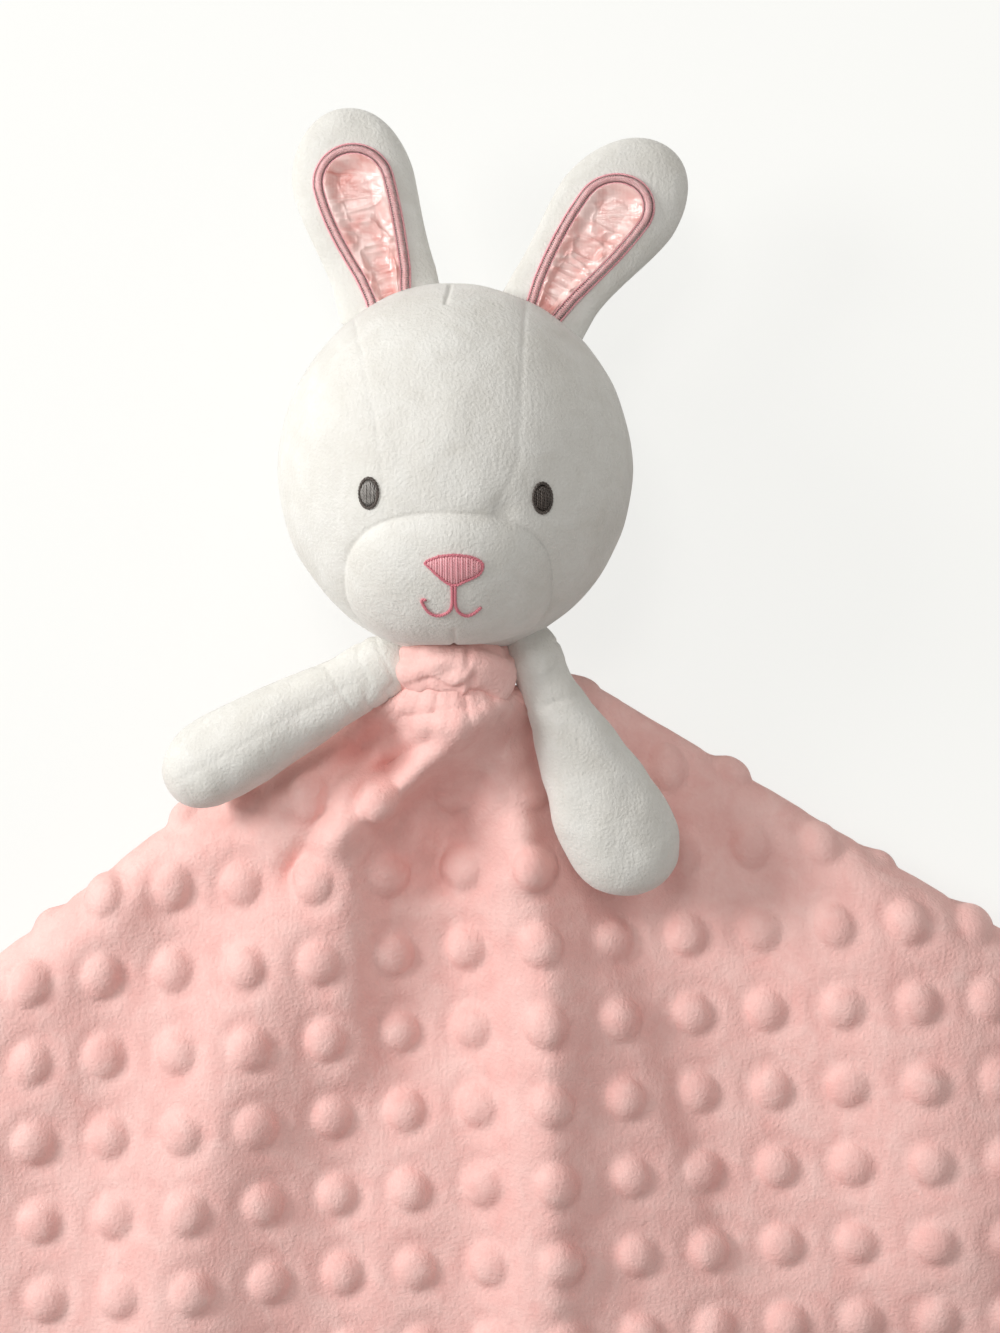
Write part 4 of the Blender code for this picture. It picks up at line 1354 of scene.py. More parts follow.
        # The zigzag's paler thread is painted highlight on the border's crest.
        inner = self.satin_outline(0.0005, 420)
        outer = self.satin_outline(0.0022, 420)
        zigzag = np.where((np.arange(420) % 2 == 0)[:, None], inner, outer)
        height = self.front(zigzag) + 0.00035
        middle = self.satin_outline(0.00135, 420)
        peak = self.front(middle) + 0.0011
        route = np.empty((840, 3))
        route[0::2, :2], route[0::2, 2] = zigzag, height
        route[1::2, :2], route[1::2, 2] = 0.5 * (zigzag + np.roll(zigzag, -1, axis=0)), peak
        route = route[:-1]
        stitches = tubes_object(
            f"ear_{self.side}_zigzag", [self.put(route)], [0.00027], 5, False
        )
        pieces.append(HIGHLIGHT_PAINTED_THREAD.dress(stitches))
        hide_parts(f"ear_{self.side}_border")
        return pieces

    def build(self) -> list[bpy.types.Object]:
        """Makes the ear over its root. Returns: its pieces."""
        blade = self.skin()
        patch = self.satin()
        border = self.border()
        pieces = [blade, patch] + border
        for piece in pieces:
            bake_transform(piece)
        return pieces


@dataclass
class Arm:
    """One arm: a soft plush sausage with a seam round its edge and small tucks."""

    side: str
    placement: Placement
    seed: int
    length: float
    half_depth: float
    root_radius: float
    bend: float = 0.0
    half_width: float = 0.0140
    sunk: float = 0.0150
    rows: int = 170
    columns: int = 150
    seam_depth: float = 0.0005

    def radius_at(self, y: Points, widest: float) -> Points:
        """The arm's reach from its middle line at a distance from the root."""
        share = np.clip(y / self.length, 0.0, 1.0)
        width = mix(self.root_radius, widest, ease(share / 0.66))
        tip_start = self.length - widest * 1.15
        tip = np.clip((y - tip_start) / (self.length - tip_start), 0.0, 1.0)
        return width * np.sqrt(np.clip(1.0 - tip**2.2, 0.0, 1.0))

    def build(self) -> bpy.types.Object:
        """Makes the arm over its root. Returns: the arm."""
        share = np.linspace(0.0, 1.0, self.rows)
        y = mix(-self.sunk, self.length - 0.00005, 1.0 - (1.0 - share) ** 1.35)[:, None]
        turn = (2.0 * np.pi * np.arange(self.columns) / self.columns)[None, :]
        foot = np.clip((y + self.sunk) / 0.0110, 0.0, 1.0)
        closing = np.sqrt(np.clip(1.0 - (1.0 - foot) ** 2, 0.05, 1.0))
        across = np.sign(np.cos(turn)) * np.abs(np.cos(turn)) ** 0.92
        above = np.sign(np.sin(turn)) * np.abs(np.sin(turn)) ** 0.92
        local = np.stack(
            [
                self.radius_at(y, self.half_width) * closing * across,
                y + 0.0 * turn,
                self.radius_at(y, self.half_depth) * closing * above,
            ],
            axis=-1,
        )
        out = np.stack([np.cos(turn) + 0.0 * y, 0.0 * y + 0.0 * turn, np.sin(turn) + 0.0 * y], axis=-1)
        away = local[..., 2]
        seam = self.seam_depth * (bump(away / 0.0008) - 0.25 * bump((np.abs(away) - 0.0032) / 0.0026))
        seam = seam * ease(y / 0.006)
        soft = lumps(local, 0.014, self.seed) * 0.65 + lumps(local, 0.006, self.seed + 1) * 0.35
        tucks = np.abs(lumps(local * np.array([1.0, 2.4, 1.0]), 0.011, self.seed + 2))
        near_root = ease((0.016 - y) / 0.012)
        pull = bump(tucks / 0.20) * (0.0003 * near_root + 0.00006)
        fade = ease((self.length - y) / 0.004)
        local += out * ((0.0010 * soft - seam - pull) * fade)[..., None]
        local[..., 0] += self.bend * np.clip(local[..., 1] / self.length, 0.0, 1.0) ** 1.5
        places = self.placement.place(local)
        places[..., 2] = np.maximum(places[..., 2], 0.0005)
        arm = grid_object(f"arm_{self.side}_plush", places, True, capped=True)
        face_outward(arm)
        WHITE_PLUSH.dress(arm)
        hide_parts(*(f"arm_{self.side}_{part}" for part in ("front_skin", "back_skin", "stuffing")))
        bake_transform(arm)
        return arm


@dataclass(frozen=True)
class Ridge:
    """A fold in the laid cloth along a line, with its own width on the left and the right of it."""

    line: Outline
    height: float
    width: float
    right_width: float = 0.0

    def rise(self, flat: Points) -> Points:
        """How far the fold lifts the cloth.

        Args:
            flat: places across and up from the neck.

        Returns:
            One height for each place.
        """
        nearest = np.full(flat.shape[:-1], np.inf)
        turn = np.zeros(flat.shape[:-1])
        for start, end in zip(np.array(self.line[:-1]), np.array(self.line[1:])):
            along = end - start
            share = np.clip((flat - start) @ along / (along @ along), 0.0, 1.0)
            offset = flat - (start + share[..., None] * along)
            away = np.linalg.norm(offset, axis=-1)
            right = (offset[..., 1] * along[0] - offset[..., 0] * along[1]) / np.linalg.norm(along)
            turn = np.where(away < nearest, right / np.maximum(away, NEAR_ZERO), turn)
            nearest = np.minimum(nearest, away)
        width = mix(self.width, self.right_width or self.width, 0.5 + 0.5 * turn)
        return self.height * bump(nearest / width)


@dataclass
class Collar:
    """The gathered roll of cloth under the chin, and the thread that draws it in."""

    drop: float = -0.0014
    radius: float = 0.0111
    roll: float = 0.0048
    stretch: float = 1.32
    rows: int = 360
    sides: int = 80
    ruffle_depth: float = 0.00045
    tuck_turn: float = -0.04
    tuck_depth: float = 0.0013
    crease_depth: float = 0.0011
    creases: tuple[tuple[float, float, float, float], ...] = (
        (-0.95, 0.35, 0.30, 0.6), (0.30, -0.40, 0.26, 2.1), (1.00, 0.20, 0.26, 4.0),
    )
    lobe_turn: float = 1.05
    lobe_drop: float = 0.0014
    thread_drop: float = -0.0092
    thread_reach: float = 0.0108
    thread_radius: float = 0.0005
    thread_gathers: int = 22

    def roll_piece(self) -> bpy.types.Object:
        """The ruffled roll itself. Returns: the roll."""
        turn = (2.0 * np.pi * np.arange(self.rows) / self.rows)[:, None]
        around = (2.0 * np.pi * np.arange(self.sides) / self.sides)[None, :]
        ring = np.stack([np.sin(turn), np.cos(turn)], axis=-1)[:, 0]
        noise_at = np.concatenate([ring * 0.030, np.zeros((self.rows, 1))], axis=-1)
        wander = lumps(noise_at, 0.013, 31)[:, None]
        folds = np.cos(7.0 * turn + 2.6 * wander + 1.1 * np.sin(around))
        folds += 0.5 * np.cos(15.0 * turn - 1.8 * around + 4.0 * wander)
        signed = (turn + np.pi) % (2.0 * np.pi) - np.pi
        facing = (around + np.pi) % (2.0 * np.pi) - np.pi
        tuck = bump((signed - self.tuck_turn - 0.25 * facing) / 0.24) * bump((facing + 0.15) / 0.50)
        lobe = bump((signed - self.lobe_turn) / 0.30)
        roll = self.roll + self.ruffle_depth * (0.5 * folds + 1.8 * lobe) - self.tuck_depth * tuck
        for middle, sway, width, start in self.creases:
            crease = bump((facing - middle - sway * wander - 0.25 * np.sin(turn + start)) / width)
            roll = roll - self.crease_depth * crease * (0.45 + 0.55 * np.cos(2.0 * turn + start))
        reach = self.radius + roll * np.cos(around)
        grid = np.stack(
            [
                reach * np.sin(turn),
                self.drop - self.lobe_drop * lobe + self.stretch * roll * np.sin(around) + 0.0008 * wander,
                reach * np.cos(turn),
            ],
            axis=-1,
        )
        collar = grid_object("collar_roll", NECK + grid, True, wrapped=True)
        face_outward(collar)
        PINK_MINKY.dress(collar)
        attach(collar, "blanket")
        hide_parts("neck_collar")
        return collar

    def thread(self) -> bpy.types.Object:
        """The gathering thread, running over and under the pleats. Returns: the thread."""
        turn = 2.0 * np.pi * np.arange(360) / 360
        reach = self.thread_reach + 0.0005 * np.cos(self.thread_gathers * turn)
        route = np.stack(
            [
                reach * np.sin(turn),
                self.thread_drop + 0.0003 * np.sin(self.thread_gathers * turn),
                reach * np.cos(turn),
            ],
            axis=-1,
        )
        thread = tubes_object("gathering_stitches", [NECK + route], [self.thread_radius], 8, True)
        PINK_THREAD.dress(thread)
        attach(thread, "blanket")
        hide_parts("gathering_thread")
        return thread


@dataclass
class Blanket:
    """The square of dotted minky and its lining, gathered at the neck, laid in a fan and folded under."""

    neck_rise: float = 0.0030
    collar_y: float = -0.0063
    ring_y: float = -0.0090
    ring_radius: float = 0.0108
    puff: float = 0.0034
    side: float = 0.4200
    gathered: float = 0.0220
    fan_middle: float = 3.5
    fan_half: float = 59.5
    cloth_turn: float = 4.0
    thickness: float = 0.0024
    minky_share: float = 0.62
    top: float = 0.0150
    hem_top: float = 0.0110
    alone_top: float = 0.0052
    settle_run: float = 0.0350
    edge_height: float = 0.0050
    edge_round: float = 0.0100
    layer_step: float = 0.00275
    neck_slope: float = 0.0400
    side_slope: float = 0.0240
    shoulder_left: float = 0.0130
    shoulder_right: float = 0.0140
    dot_pitch: float = 0.0208
    dot_radius: float = 0.0060
    dot_height: float = 0.0025
    pucker: float = 0.0004
    dot_start: tuple[float, float] = (-0.0025, 0.0135)
    hidden_dot_share: float = 0.12
    front_columns: int = 520
    hidden_columns: int = 300
    rows: int = 240
    under_rows: int = 50
    hem_inset: float = 0.0045
    stitch_length: float = 0.0030
    ridges: tuple[Ridge, ...] = (
        Ridge(((0.0120, -0.0290), (0.0220, -0.0780), (0.0240, -0.2050)), 0.0110, 0.0160, 0.0100),
        Ridge(((0.0386, -0.0987), (0.0441, -0.2050)), 0.0059, 0.0231),
        Ridge(
            ((-0.0290, -0.0462), (-0.0500, -0.0903), (-0.0680, -0.1450), (-0.0756, -0.1953)), 0.0110, 0.0210
        ),
        Ridge(((0.1140, -0.0796), (0.1302, -0.1302), (0.1400, -0.1754)), 0.0080, 0.0270),
        Ridge(((0.0080, -0.0141), (-0.0101, -0.0311), (-0.0290, -0.0462)), 0.0059, 0.0075, 0.0050),
        Ridge(((-0.0330, -0.0340), (-0.0600, -0.0480), (-0.0882, -0.0609)), 0.0052, 0.0095, 0.0105),
        Ridge(((-0.0280, -0.0483), (-0.0280, -0.1050)), 0.0046, 0.0085, 0.0075),
        Ridge(((-0.0880, -0.0720), (-0.1290, -0.1030)), 0.0040, 0.0110),
        Ridge(((-0.1040, -0.1080), (-0.1420, -0.1500)), 0.0034, 0.0120),
        Ridge(((0.1060, -0.0560), (0.1500, -0.0840)), 0.0022, 0.0080),
        Ridge(((-0.0100, -0.1250), (-0.0160, -0.2050)), 0.0028, 0.0120),
    )

    neck_folds: tuple[Ridge, ...] = (
        Ridge(
            ((0.0145, -0.0090), (0.0055, -0.0175), (-0.0080, -0.0285), (-0.0190, -0.0400)),
            0.0084,
            0.0052,
            0.0024,
        ),
        Ridge(((-0.0220, -0.0136), (-0.0060, -0.0115), (0.0090, -0.0095)), 0.0034, 0.0040, 0.0036),
        Ridge(((-0.0135, -0.0158), (0.0050, -0.0142), (0.0112, -0.0102)), -0.0030, 0.0015),
        Ridge(((-0.0175, -0.0300), (-0.0060, -0.0215)), -0.0040, 0.0026),
        Ridge(((-0.0270, -0.0350), (-0.0200, -0.0265), (-0.0040, -0.0180)), 0.0030, 0.0026),
        Ridge(((-0.0180, -0.0110), (-0.0300, -0.0240), (-0.0430, -0.0380)), 0.0046, 0.0046, 0.0036),
        Ridge(((-0.0330, -0.0420), (-0.0420, -0.0560)), -0.0030, 0.0034),
        Ridge(((0.0085, -0.0220), (0.0000, -0.0380), (-0.0050, -0.0560)), -0.0052, 0.0062),
        Ridge(((0.0160, -0.0270), (0.0190, -0.0560)), 0.0048, 0.0070, 0.0030),
    )

    def columns(self) -> Points:
        """The cloth angles of the grid's columns, in degrees, once round the neck."""
        first = self.fan_middle - self.cloth_turn - self.fan_half
        last = first + 2.0 * self.fan_half
        front = np.linspace(first, last, self.front_columns, endpoint=False)
        hidden = np.linspace(last, first + 360.0, self.hidden_columns, endpoint=False)
        return np.concatenate([front, hidden])

    def reach(self, angle: Points) -> Points:
        """How far the cloth runs from the ring to its hem at a cloth angle in radians."""
        return self.side / 2.0 / np.maximum(np.abs(np.sin(angle)), np.abs(np.cos(angle))) - self.gathered

    def pleat_angle(self, run: Points) -> Points:
        """Where the pleat beside the right arm lies, in degrees, at a distance from the neck."""
        return 21.5 + 0.40 / np.maximum(run, 0.02)

    def lay(self, angle: Points, run: Points) -> tuple[Points, Points, Points]:
        """Where the cloth lies round the neck once it is folded.

        Args:
            angle: cloth angles in degrees.
            run: distances from the ring along the cloth.

        Returns:
            The laid angle in degrees, the height of the hidden layers, and 1 where the cloth is in front.
        """
        first = self.fan_middle - self.cloth_turn - self.fan_half
        width = 2.0 * self.fan_half
        in_front = (angle < first + width).astype(float)
        arc = np.degrees(1.0) / np.maximum(run, 0.012)
        front = angle + self.cloth_turn
        soft = 0.0035 * arc
        edge = self.fan_middle + self.fan_half
        gap = np.sqrt(np.square(self.fan_half - np.abs(front - self.fan_middle)) + soft**2) - soft
        widest = np.sqrt(self.fan_half**2 + soft**2) - soft
        front = self.fan_middle + np.sign(front - self.fan_middle) * self.fan_half * (1.0 - gap / widest)
        hidden = angle - first - width
        spare = 360.0 - width
        from_right = hidden <= spare / 2.0
        folded = np.where(from_right, hidden, spare - hidden)
        sign = np.where(from_right, 1.0, -1.0)
        deep = spare / 2.0 - self.fan_half
        second = edge - self.fan_middle - (np.sqrt(folded**2 + soft**2) - soft)
        third = np.abs(folded - self.fan_half)
        third = deep / 2.0 - np.abs(third - deep / 2.0)
        reach = np.where(folded < self.fan_half, second, np.maximum(third, 0.0))
        inner = 0.0022 * arc
        behind = self.fan_middle + sign * (inner + reach * (1.0 - inner / self.fan_half))
        from_edge = self.fan_half - reach
        step = self.layer_step
        low = 0.5 * step
        second_height = low + 2.0 * step * (1.0 - ease((reach - deep / 2.0 - 0.002 * arc) / 8.0))
        rim = np.sqrt(np.clip(1.0 - np.square(1.0 - np.clip(from_edge / (0.006 * arc), 0.0, 1.0)), 0.0, 1.0))
        second_height = self.edge_height - (self.edge_height - second_height) * rim
        at_inner = np.clip((folded - self.fan_half) / (0.0040 * arc) + 0.5, 0.0, 1.0)
        at_outer = np.clip((folded - self.fan_half - deep / 2.0) / (0.0040 * arc) + 0.5, 0.0, 1.0)
        height = mix(second_height, low + step, ease(at_inner))
        height = mix(height, low, ease(at_outer))
        return np.where(in_front > 0.0, front, behind), height, in_front

    def layers_end(self, laid: Points) -> Points:
        """How far the folded layers run under a laid angle in degrees, before the front lies there alone."""
        from_edge = self.fan_half - np.abs(laid - self.fan_middle)
        return self.reach(np.radians(self.fan_half + from_edge))

    def front_height(self, laid: Points, flat: Points, down: Points) -> Points:
        """The height of the cloth's front over the table.

        Args:
            laid: laid angles in degrees.
            flat: places across and up from the neck.
            down: 0 at the neck and 1 at the hem.

        Returns:
            One height for each place, of the middle of the cloth.
        """
        rise = np.zeros(laid.shape)
        for ridge in self.ridges:
            rise += ridge.rise(flat)
        run = np.linalg.norm(flat - np.array([0.0, self.collar_y]), axis=-1)
        past = (laid - self.pleat_angle(run)) * np.radians(1.0) * run
        drop = ease((past + 0.0030) / 0.0110) * (1.0 - ease((past - 0.014) / 0.050))
        rise -= 0.0048 * drop * ease((run - 0.030) / 0.030) * (1.0 - 0.5 * ease((run - 0.150) / 0.060))
        places = np.concatenate([flat, np.zeros(flat.shape[:-1] + (1,))], axis=-1)
        rise += 0.0011 * lumps(places, 0.034, 51) + 0.0006 * lumps(places, 0.015, 52)
        alone = ease((run - self.layers_end(laid)) / self.settle_run)
        level = mix(mix(self.top, self.hem_top, down), self.alone_top, alone)
        top = level + rise - self.thickness / 2.0
        lowest = mix(4.0 * self.layer_step - 0.0010, self.alone_top / 2.0, alone)
        top = lowest + 0.5 * (top - lowest + np.hypot(top - lowest, self.layer_step))
        from_edge = (self.fan_half - np.abs(laid - self.fan_middle)) * np.radians(1.0) * np.maximum(run, 0.02)
        short_of = 1.0 - np.clip(from_edge / self.edge_round, 0.0, 1.0)
        rounding = np.sqrt(np.clip(1.0 - np.square(short_of), 0.0, 1.0))
        return mix(self.edge_height, top, rounding)

    def middle_surface(self, angle: Points, down: Points) -> tuple[Points, Points, Points]:
        """The middle of the cloth.

        Args:
            angle: cloth angles in degrees.
            down: 0 at the ring and 1 at the hem.

        Returns:
            Places in the scene, places on the flat cloth, and 1 where the cloth is in front.
        """
        turned = np.radians(angle)
        full = self.reach(turned)
        run = down * full
        laid, hidden_height, in_front = self.lay(angle, run)
        across = (laid - self.fan_middle) / self.fan_half
        limit = self.reach(np.radians(laid - self.cloth_turn)) - 0.006
        length = np.where(in_front > 0.0, full, np.minimum(full, limit))
        facing = np.radians(laid)
        hem = np.stack([length * np.sin(facing), self.collar_y - length * np.cos(facing)], axis=-1)
        quarter = np.pi / 2.0
        spare = 180.0 - self.fan_half
        behind = quarter * (1.0 + (np.abs((angle + 180.0) % 360.0 - 180.0) - self.fan_half) / spare)
        sign = np.where(laid >= self.fan_middle, 1.0, -1.0)
        ring_turn = np.where(in_front > 0.0, across * quarter, sign * np.clip(behind, quarter, np.pi))
        start = np.stack([self.ring_radius * np.sin(ring_turn), np.full(laid.shape, self.ring_y)], axis=-1)
        flat = mix(start, hem, down[..., None])
        lift = np.where(across > 0.0, self.shoulder_right, self.shoulder_left)
        flat[..., 1] += lift * np.abs(across) ** 3 * (1.0 - down) * ease(down / 0.12)
        height = np.where(in_front > 0.0, self.front_height(laid, flat, down), hidden_height)
        slope = np.where(
            in_front > 0.0, mix(self.neck_slope, self.side_slope, ease(np.abs(across) / 0.6)), self.side_slope
        )
        settle = ease(np.linalg.norm(flat - start, axis=-1) / slope)
        raised = NECK[2] + self.ring_radius * np.cos(ring_turn)
        z = mix(raised, height, settle)
        below_collar = ease((run - 0.002) / 0.008) * mix(0.50, 1.0, ease((run - 0.008) / 0.020))
        for fold in self.neck_folds:
            z = z + fold.rise(flat) * in_front * below_collar
        z = z + self.puff * bump((run - 0.0095) / 0.0055) * np.cos(ring_turn)
        wander = lumps(np.stack([np.sin(turned), np.cos(turned), 0.0 * turned], axis=-1) * 0.03, 0.007, 61)
        pleats = np.cos(turned * 26.0 + 3.0 * wander) + 0.5 * np.cos(turned * 43.0 - 4.0 * wander)
        fade = (1.0 - ease((run - 0.004) / 0.040)) * ease((run + 0.004) / 0.012)
        depth = np.where(in_front > 0.0, 0.0003, 0.0004)
        z = z + depth * pleats * fade
        places = np.stack([NECK[0] + flat[..., 0], NECK[1] + self.neck_rise + flat[..., 1], z], axis=-1)
        rho = run + self.gathered
        cloth = np.stack([rho * np.sin(turned), -rho * np.cos(turned)], axis=-1)
        return places, cloth, in_front

    def dots(self, cloth: Points, in_front: Points) -> Points:
        """How far the raised dots and the hem's stitch line move the minky's face.

        Args:
            cloth: places on the flat cloth.
            in_front: 1 where the cloth is in front.

        Returns:
            One height for each place.
        """
        shift = (cloth - np.array(self.dot_start)) / self.dot_pitch
        away = np.linalg.norm((shift - np.round(shift)) * self.dot_pitch, axis=-1) / self.dot_radius
        dome = np.clip(1.0 - away**2.4, 0.0, 1.0) ** 1.15
        dome -= self.pucker / self.dot_height * bump((away - 1.2) / 0.35)
        share = mix(self.hidden_dot_share, 1.0, in_front)
        fade = ease((np.linalg.norm(cloth, axis=-1) - 0.042) / 0.018)
        from_hem = self.side / 2.0 - np.max(np.abs(cloth), axis=-1)
        stitched = ease((from_hem - self.hem_inset) / 0.003)
        groove = 0.0006 * bump((from_hem - self.hem_inset) / 0.0011)
        return self.dot_height * dome * share * fade * stitched - groove

    def sheet(self, name: str, outer: Points, inner: Points) -> bpy.types.Object:
        """A closed cloth from its two faces.

        Args:
            name: the piece's name.
            outer: the face towards the dots, rows from the neck to the hem.
            inner: the other face, with fewer rows, in the same columns.

        Returns:
            The cloth.
        """
        piece = grid_object(name, np.concatenate([outer, inner[::-1]], axis=0), True, wrapped=True)
        face_outward(piece)
        return piece

    def build(self) -> list[bpy.types.Object]:
        """Makes the minky, its lining and the hem stitches. Returns: the pieces."""
        angle = self.columns()[None, :]
        fine = (np.linspace(0.0, 1.0, self.rows) ** 1.15)[:, None]
        coarse = (np.linspace(0.0, 1.0, self.under_rows) ** 1.15)[:, None]
        places, cloth, in_front = self.middle_surface(angle + 0.0 * fine, fine + 0.0 * angle)
        normals = surface_normals(places, True)
        if normals[self.rows // 2, self.front_columns // 2, 2] < 0.0:
            normals = -normals
        rough, _, _ = self.middle_surface(angle + 0.0 * coarse, coarse + 0.0 * angle)
        rough_normals = surface_normals(rough, True)
        if rough_normals[self.under_rows // 2, self.front_columns // 2, 2] < 0.0:
            rough_normals = -rough_normals
        half = self.thickness / 2.0
        inside = half - self.minky_share * self.thickness
        face = places + normals * (half + self.dots(cloth, in_front))[..., None]
        face[..., 2] = np.maximum(face[..., 2], 0.0001)
        minky = self.sheet("blanket_minky_cloth", face, rough + rough_normals * inside)
        PINK_MINKY.dress(minky)
        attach(minky, "blanket")
        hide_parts("blanket_minky")
        lining = self.sheet(
            "blanket_lining_cloth", rough + rough_normals * (inside - SKIN_GAP), rough - rough_normals * half
        )
        PINK_LINING.dress(lining)
        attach(lining, "blanket")
        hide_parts("blanket_lining")
        stitches = self.hem_stitches()
        return [minky, lining, stitches]

    def hem_stitches(self) -> bpy.types.Object:
        """The row of stitches that joins minky and lining, just inside the hem. Returns: the stitches."""
        count = int(4.0 * self.side / self.stitch_length)
        angle = np.linspace(0.0, 360.0, count * 6, endpoint=False)
        first = self.fan_middle - self.cloth_turn - self.fan_half
        angle = (angle - first) % 360.0 + first
        order = np.argsort(angle)
        angle = angle[order]
        full = self.reach(np.radians(angle))
        down = 1.0 - self.hem_inset / full
        places, _, _ = self.middle_surface(angle[None, :], down[None, :])
        lower, _, _ = self.middle_surface(angle[None, :], down[None, :] - 0.004)
        along = np.roll(places, -1, axis=1) - np.roll(places, 1, axis=1)
        out = np.cross(places - lower, along)
        out /= np.maximum(np.linalg.norm(out, axis=-1, keepdims=True), NEAR_ZERO)
        line = (places + out * (self.thickness / 2.0 - 0.0003))[0]
        routes = []
        for index in range(count):
            start = index * 6
            rise = np.array([0.0, 0.0003, 0.0004, 0.0003, 0.0])[:, None]
            routes.append(line[start : start + 5] + out[0, start : start + 5] * rise)
        stitches = tubes_object("hem_stitches", routes, [0.00026] * len(routes), 5, False)
        PINK_THREAD.dress(stitches)
        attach(stitches, "blanket")
        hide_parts("hem_stitching")
        return stitches


@dataclass
class Studio:
    """The pale floor, the soft lights and the camera straight above."""

    aim_from_neck: tuple[float, float] = (0.01125, -0.0010)
    camera_height: float = 0.8130
    lens: float = 83.3
    sensor: float = 36.0
    floor_half: float = 3.0
    white_share: float = 0.78

    def aim(self) -> tuple[float, float]:
        """The place on the table in the middle of the picture."""
        return (NECK[0] + self.aim_from_neck[0], NECK[1] + self.aim_from_neck[1])

    def floor(self) -> bpy.types.Object:
        """The table top, which keeps the toy's shadow and looks white to the camera. Returns: the floor."""
        corners = [(-1, -1), (1, -1), (1, 1), (-1, 1)]
        mesh = bpy.data.meshes.new("floor")
        places = [(x * self.floor_half, y * self.floor_half, 0.0) for x, y in corners]
        mesh.from_pydata(places, [], [(0, 1, 2, 3)])
        floor = bpy.data.objects.new("floor", mesh)
        bpy.context.scene.collection.objects.link(floor)
        made = bpy.data.materials.new("pale_table")
        made.use_nodes = True
        shader = made.node_tree.nodes["Principled BSDF"]
        shader.inputs["Base Color"].default_value = linear((250, 250, 247))
        shader.inputs["Roughness"].default_value = 0.9
        shader.inputs["Specular IOR Level"].default_value = 0.1
        bench = NodeBench(made.node_tree)
        white = bench.node("ShaderNodeEmission")
        white.inputs["Color"].default_value = linear((255, 255, 252))
        white.inputs["Strength"].default_value = 1.0
        blend = bench.node("ShaderNodeMixShader")
        seen = bench.node("ShaderNodeLightPath").outputs["Is Camera Ray"]
        bench.link(bench.math("MULTIPLY", seen, self.white_share), blend.inputs["Fac"])
        bench.link(shader.outputs["BSDF"], blend.inputs[1])
        bench.link(white.outputs["Emission"], blend.inputs[2])
        bench.link(blend.outputs["Shader"], made.node_tree.nodes["Material Output"].inputs["Surface"])
        mesh.materials.append(made)
        return floor

    def lamp(
        self, name: str, place: tuple[float, float, float], size: float, power: float, tint: Colour
    ) -> None:
        """A soft square lamp aimed at the toy.

        Args:
            name: the lamp's name.
            place: where it hangs.
            size: its side.
            power: its strength in watts.
            tint: its colour.
        """
        data = bpy.data.lights.new(name, "AREA")
        data.shape = "SQUARE"
        data.size = size
        data.energy = power
        data.color = linear(tint)[:3]
        lamp = bpy.data.objects.new(name, data)
        lamp.location = place
        aim = Vector((*self.aim(), 0.03)) - Vector(place)
        lamp.rotation_euler = aim.to_track_quat("-Z", "Y").to_euler()
        bpy.context.scene.collection.objects.link(lamp)

    def world(self) -> None:
        """A plain pale surround that fills the shadows."""
        world = bpy.data.worlds.new("studio")
        world.use_nodes = True
        world.node_tree.nodes["Background"].inputs["Color"].default_value = linear((252, 250, 246))
        world.node_tree.nodes["Background"].inputs["Strength"].default_value = 0.33
        bpy.context.scene.world = world

    def camera(self) -> None:
        """The camera, looking straight down."""
        data = bpy.data.cameras.new("photo_view")
        data.sensor_fit = "VERTICAL"
        data.sensor_height = self.sensor
        data.lens = self.lens
        data.clip_start = 0.01
        camera = bpy.data.objects.new("photo_view", data)
        camera.location = (*self.aim(), self.camera_height)
        bpy.context.scene.collection.objects.link(camera)
        bpy.context.scene.camera = camera

    def build(self) -> None:
        """Sets up the floor, the lamps, the surround and the camera."""
        self.camera()
        self.floor()
        self.world()
        self.lamp("key", (-1.06, 0.35, 0.64), 0.50, 11.3, (255, 254, 252))
        self.lamp("sheen", (-0.20, 0.49, 1.09), 0.32, 3.0, (255, 253, 250))
        self.lamp("fill", (0.40, -0.20, 1.50), 1.20, 1.2, (255, 250, 246))
        bpy.context.scene.view_settings.view_transform = "Standard"


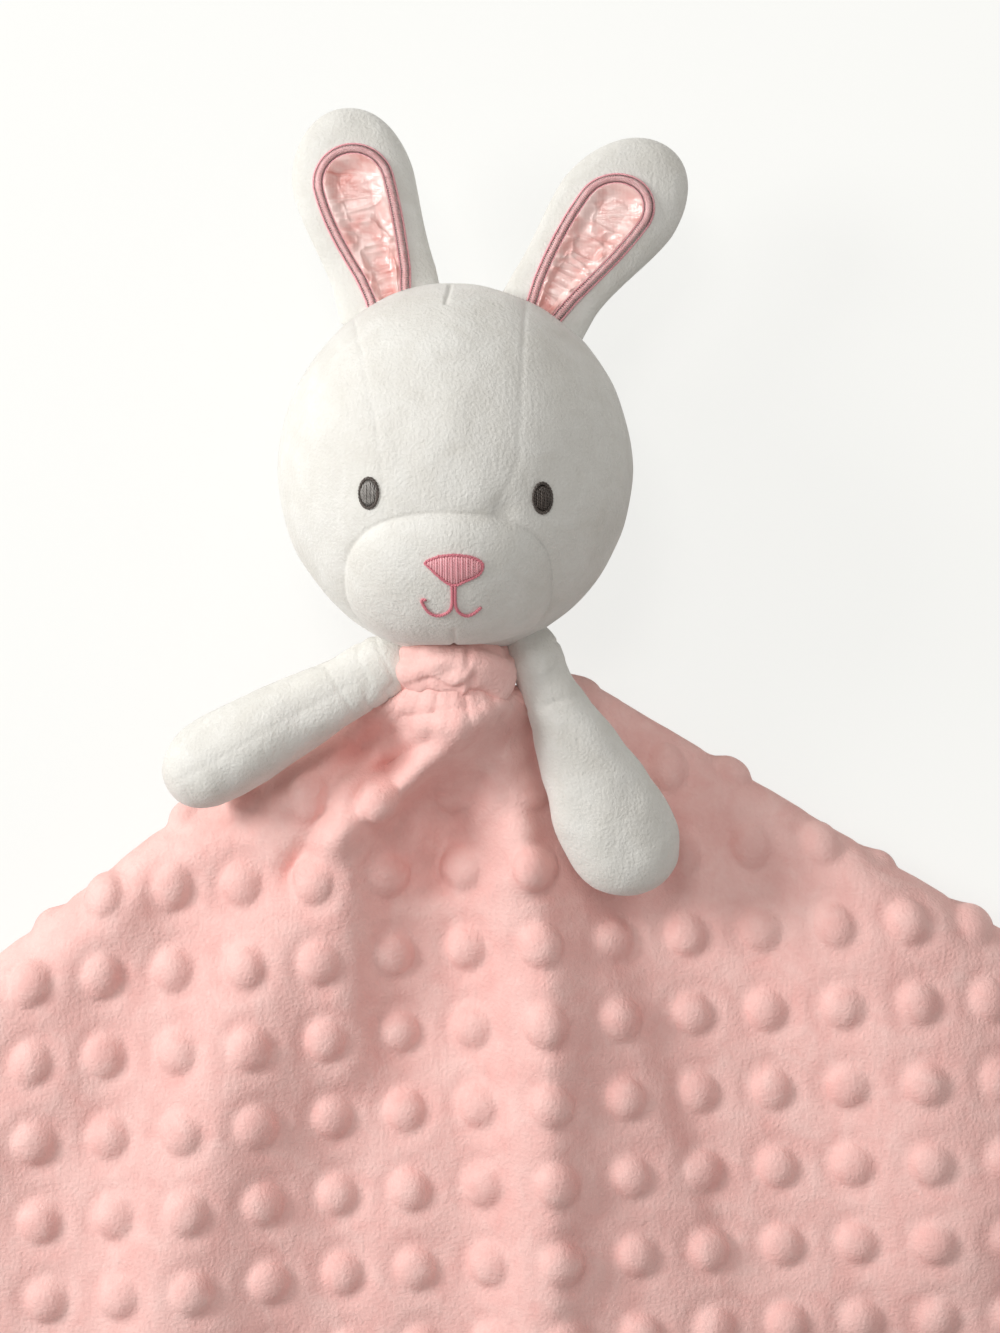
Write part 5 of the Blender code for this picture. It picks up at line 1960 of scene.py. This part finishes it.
def limb_placement(joint_name: str, droop: float, roll: float) -> Placement:
    """Where a limb lies, from the axis of its joint.

    Args:
        joint_name: the joint at its root, whose axis runs level.
        droop: how far the limb points down, in degrees.
        roll: how far it is turned about its own length, in degrees.

    Returns:
        The limb's placement.
    """
    joint = JOINTS[joint_name]
    axis = Vector(joint["axis"]).normalized()
    level = Vector((0.0, 0.0, 1.0)).cross(axis)
    angle = math.radians(droop)
    along = level * math.cos(angle) - Vector((0.0, 0.0, 1.0)) * math.sin(angle)
    up = axis.cross(along)
    turn = math.radians(roll)
    across = axis * math.cos(turn) - up * math.sin(turn)
    out = axis * math.sin(turn) + up * math.cos(turn)
    return Placement(tuple(joint["pos_m"]), tuple(across), tuple(along), tuple(out))


def report(pieces: Sequence[bpy.types.Object]) -> None:
    """Reports each piece. Pieces are the ones just made."""
    for piece in pieces:
        LOG.info("%s: %d points", piece.name, len(piece.data.vertices))


def main() -> None:
    """Builds the studio and every sub-assembly of the toy."""
    logging.basicConfig(level=logging.INFO, format="%(name)s %(message)s")
    Studio().build()
    head = HeadCover()
    report([head.build()])
    report(Embroidery(head).build())
    report([NeckSleeve().build()])
    left_ear = Ear(
        "left", limb_placement("ear_left_flop", 4.0, 0.0), seed=21, length=0.0445, bend=-0.0022, bow=-0.0016,
        root_half_width=0.0134, satin_half=0.0074, satin_root_half=0.0042,
    )
    report(left_ear.build())
    right_ear = Ear(
        "right", limb_placement("ear_right_flop", 4.0, 0.0), seed=27, length=0.0470, bend=0.0060, bow=0.0008,
        satin_rim=0.0152,
    )
    report(right_ear.build())
    left_arm = Arm(
        "left", limb_placement("arm_left_lift", 8.5, 90.0), seed=41, length=0.0590, half_depth=0.0110,
        root_radius=0.0080, seam_depth=0.00012,
    )
    report([left_arm.build()])
    right_arm = Arm(
        "right", limb_placement("arm_right_lift", 8.5, 0.0), seed=45, length=0.0615, half_depth=0.0102,
        root_radius=0.0070, bend=-0.003,
    )
    report([right_arm.build()])
    collar = Collar()
    report([collar.roll_piece(), collar.thread()])
    report(Blanket().build())


if __name__ == "__main__":
    main()
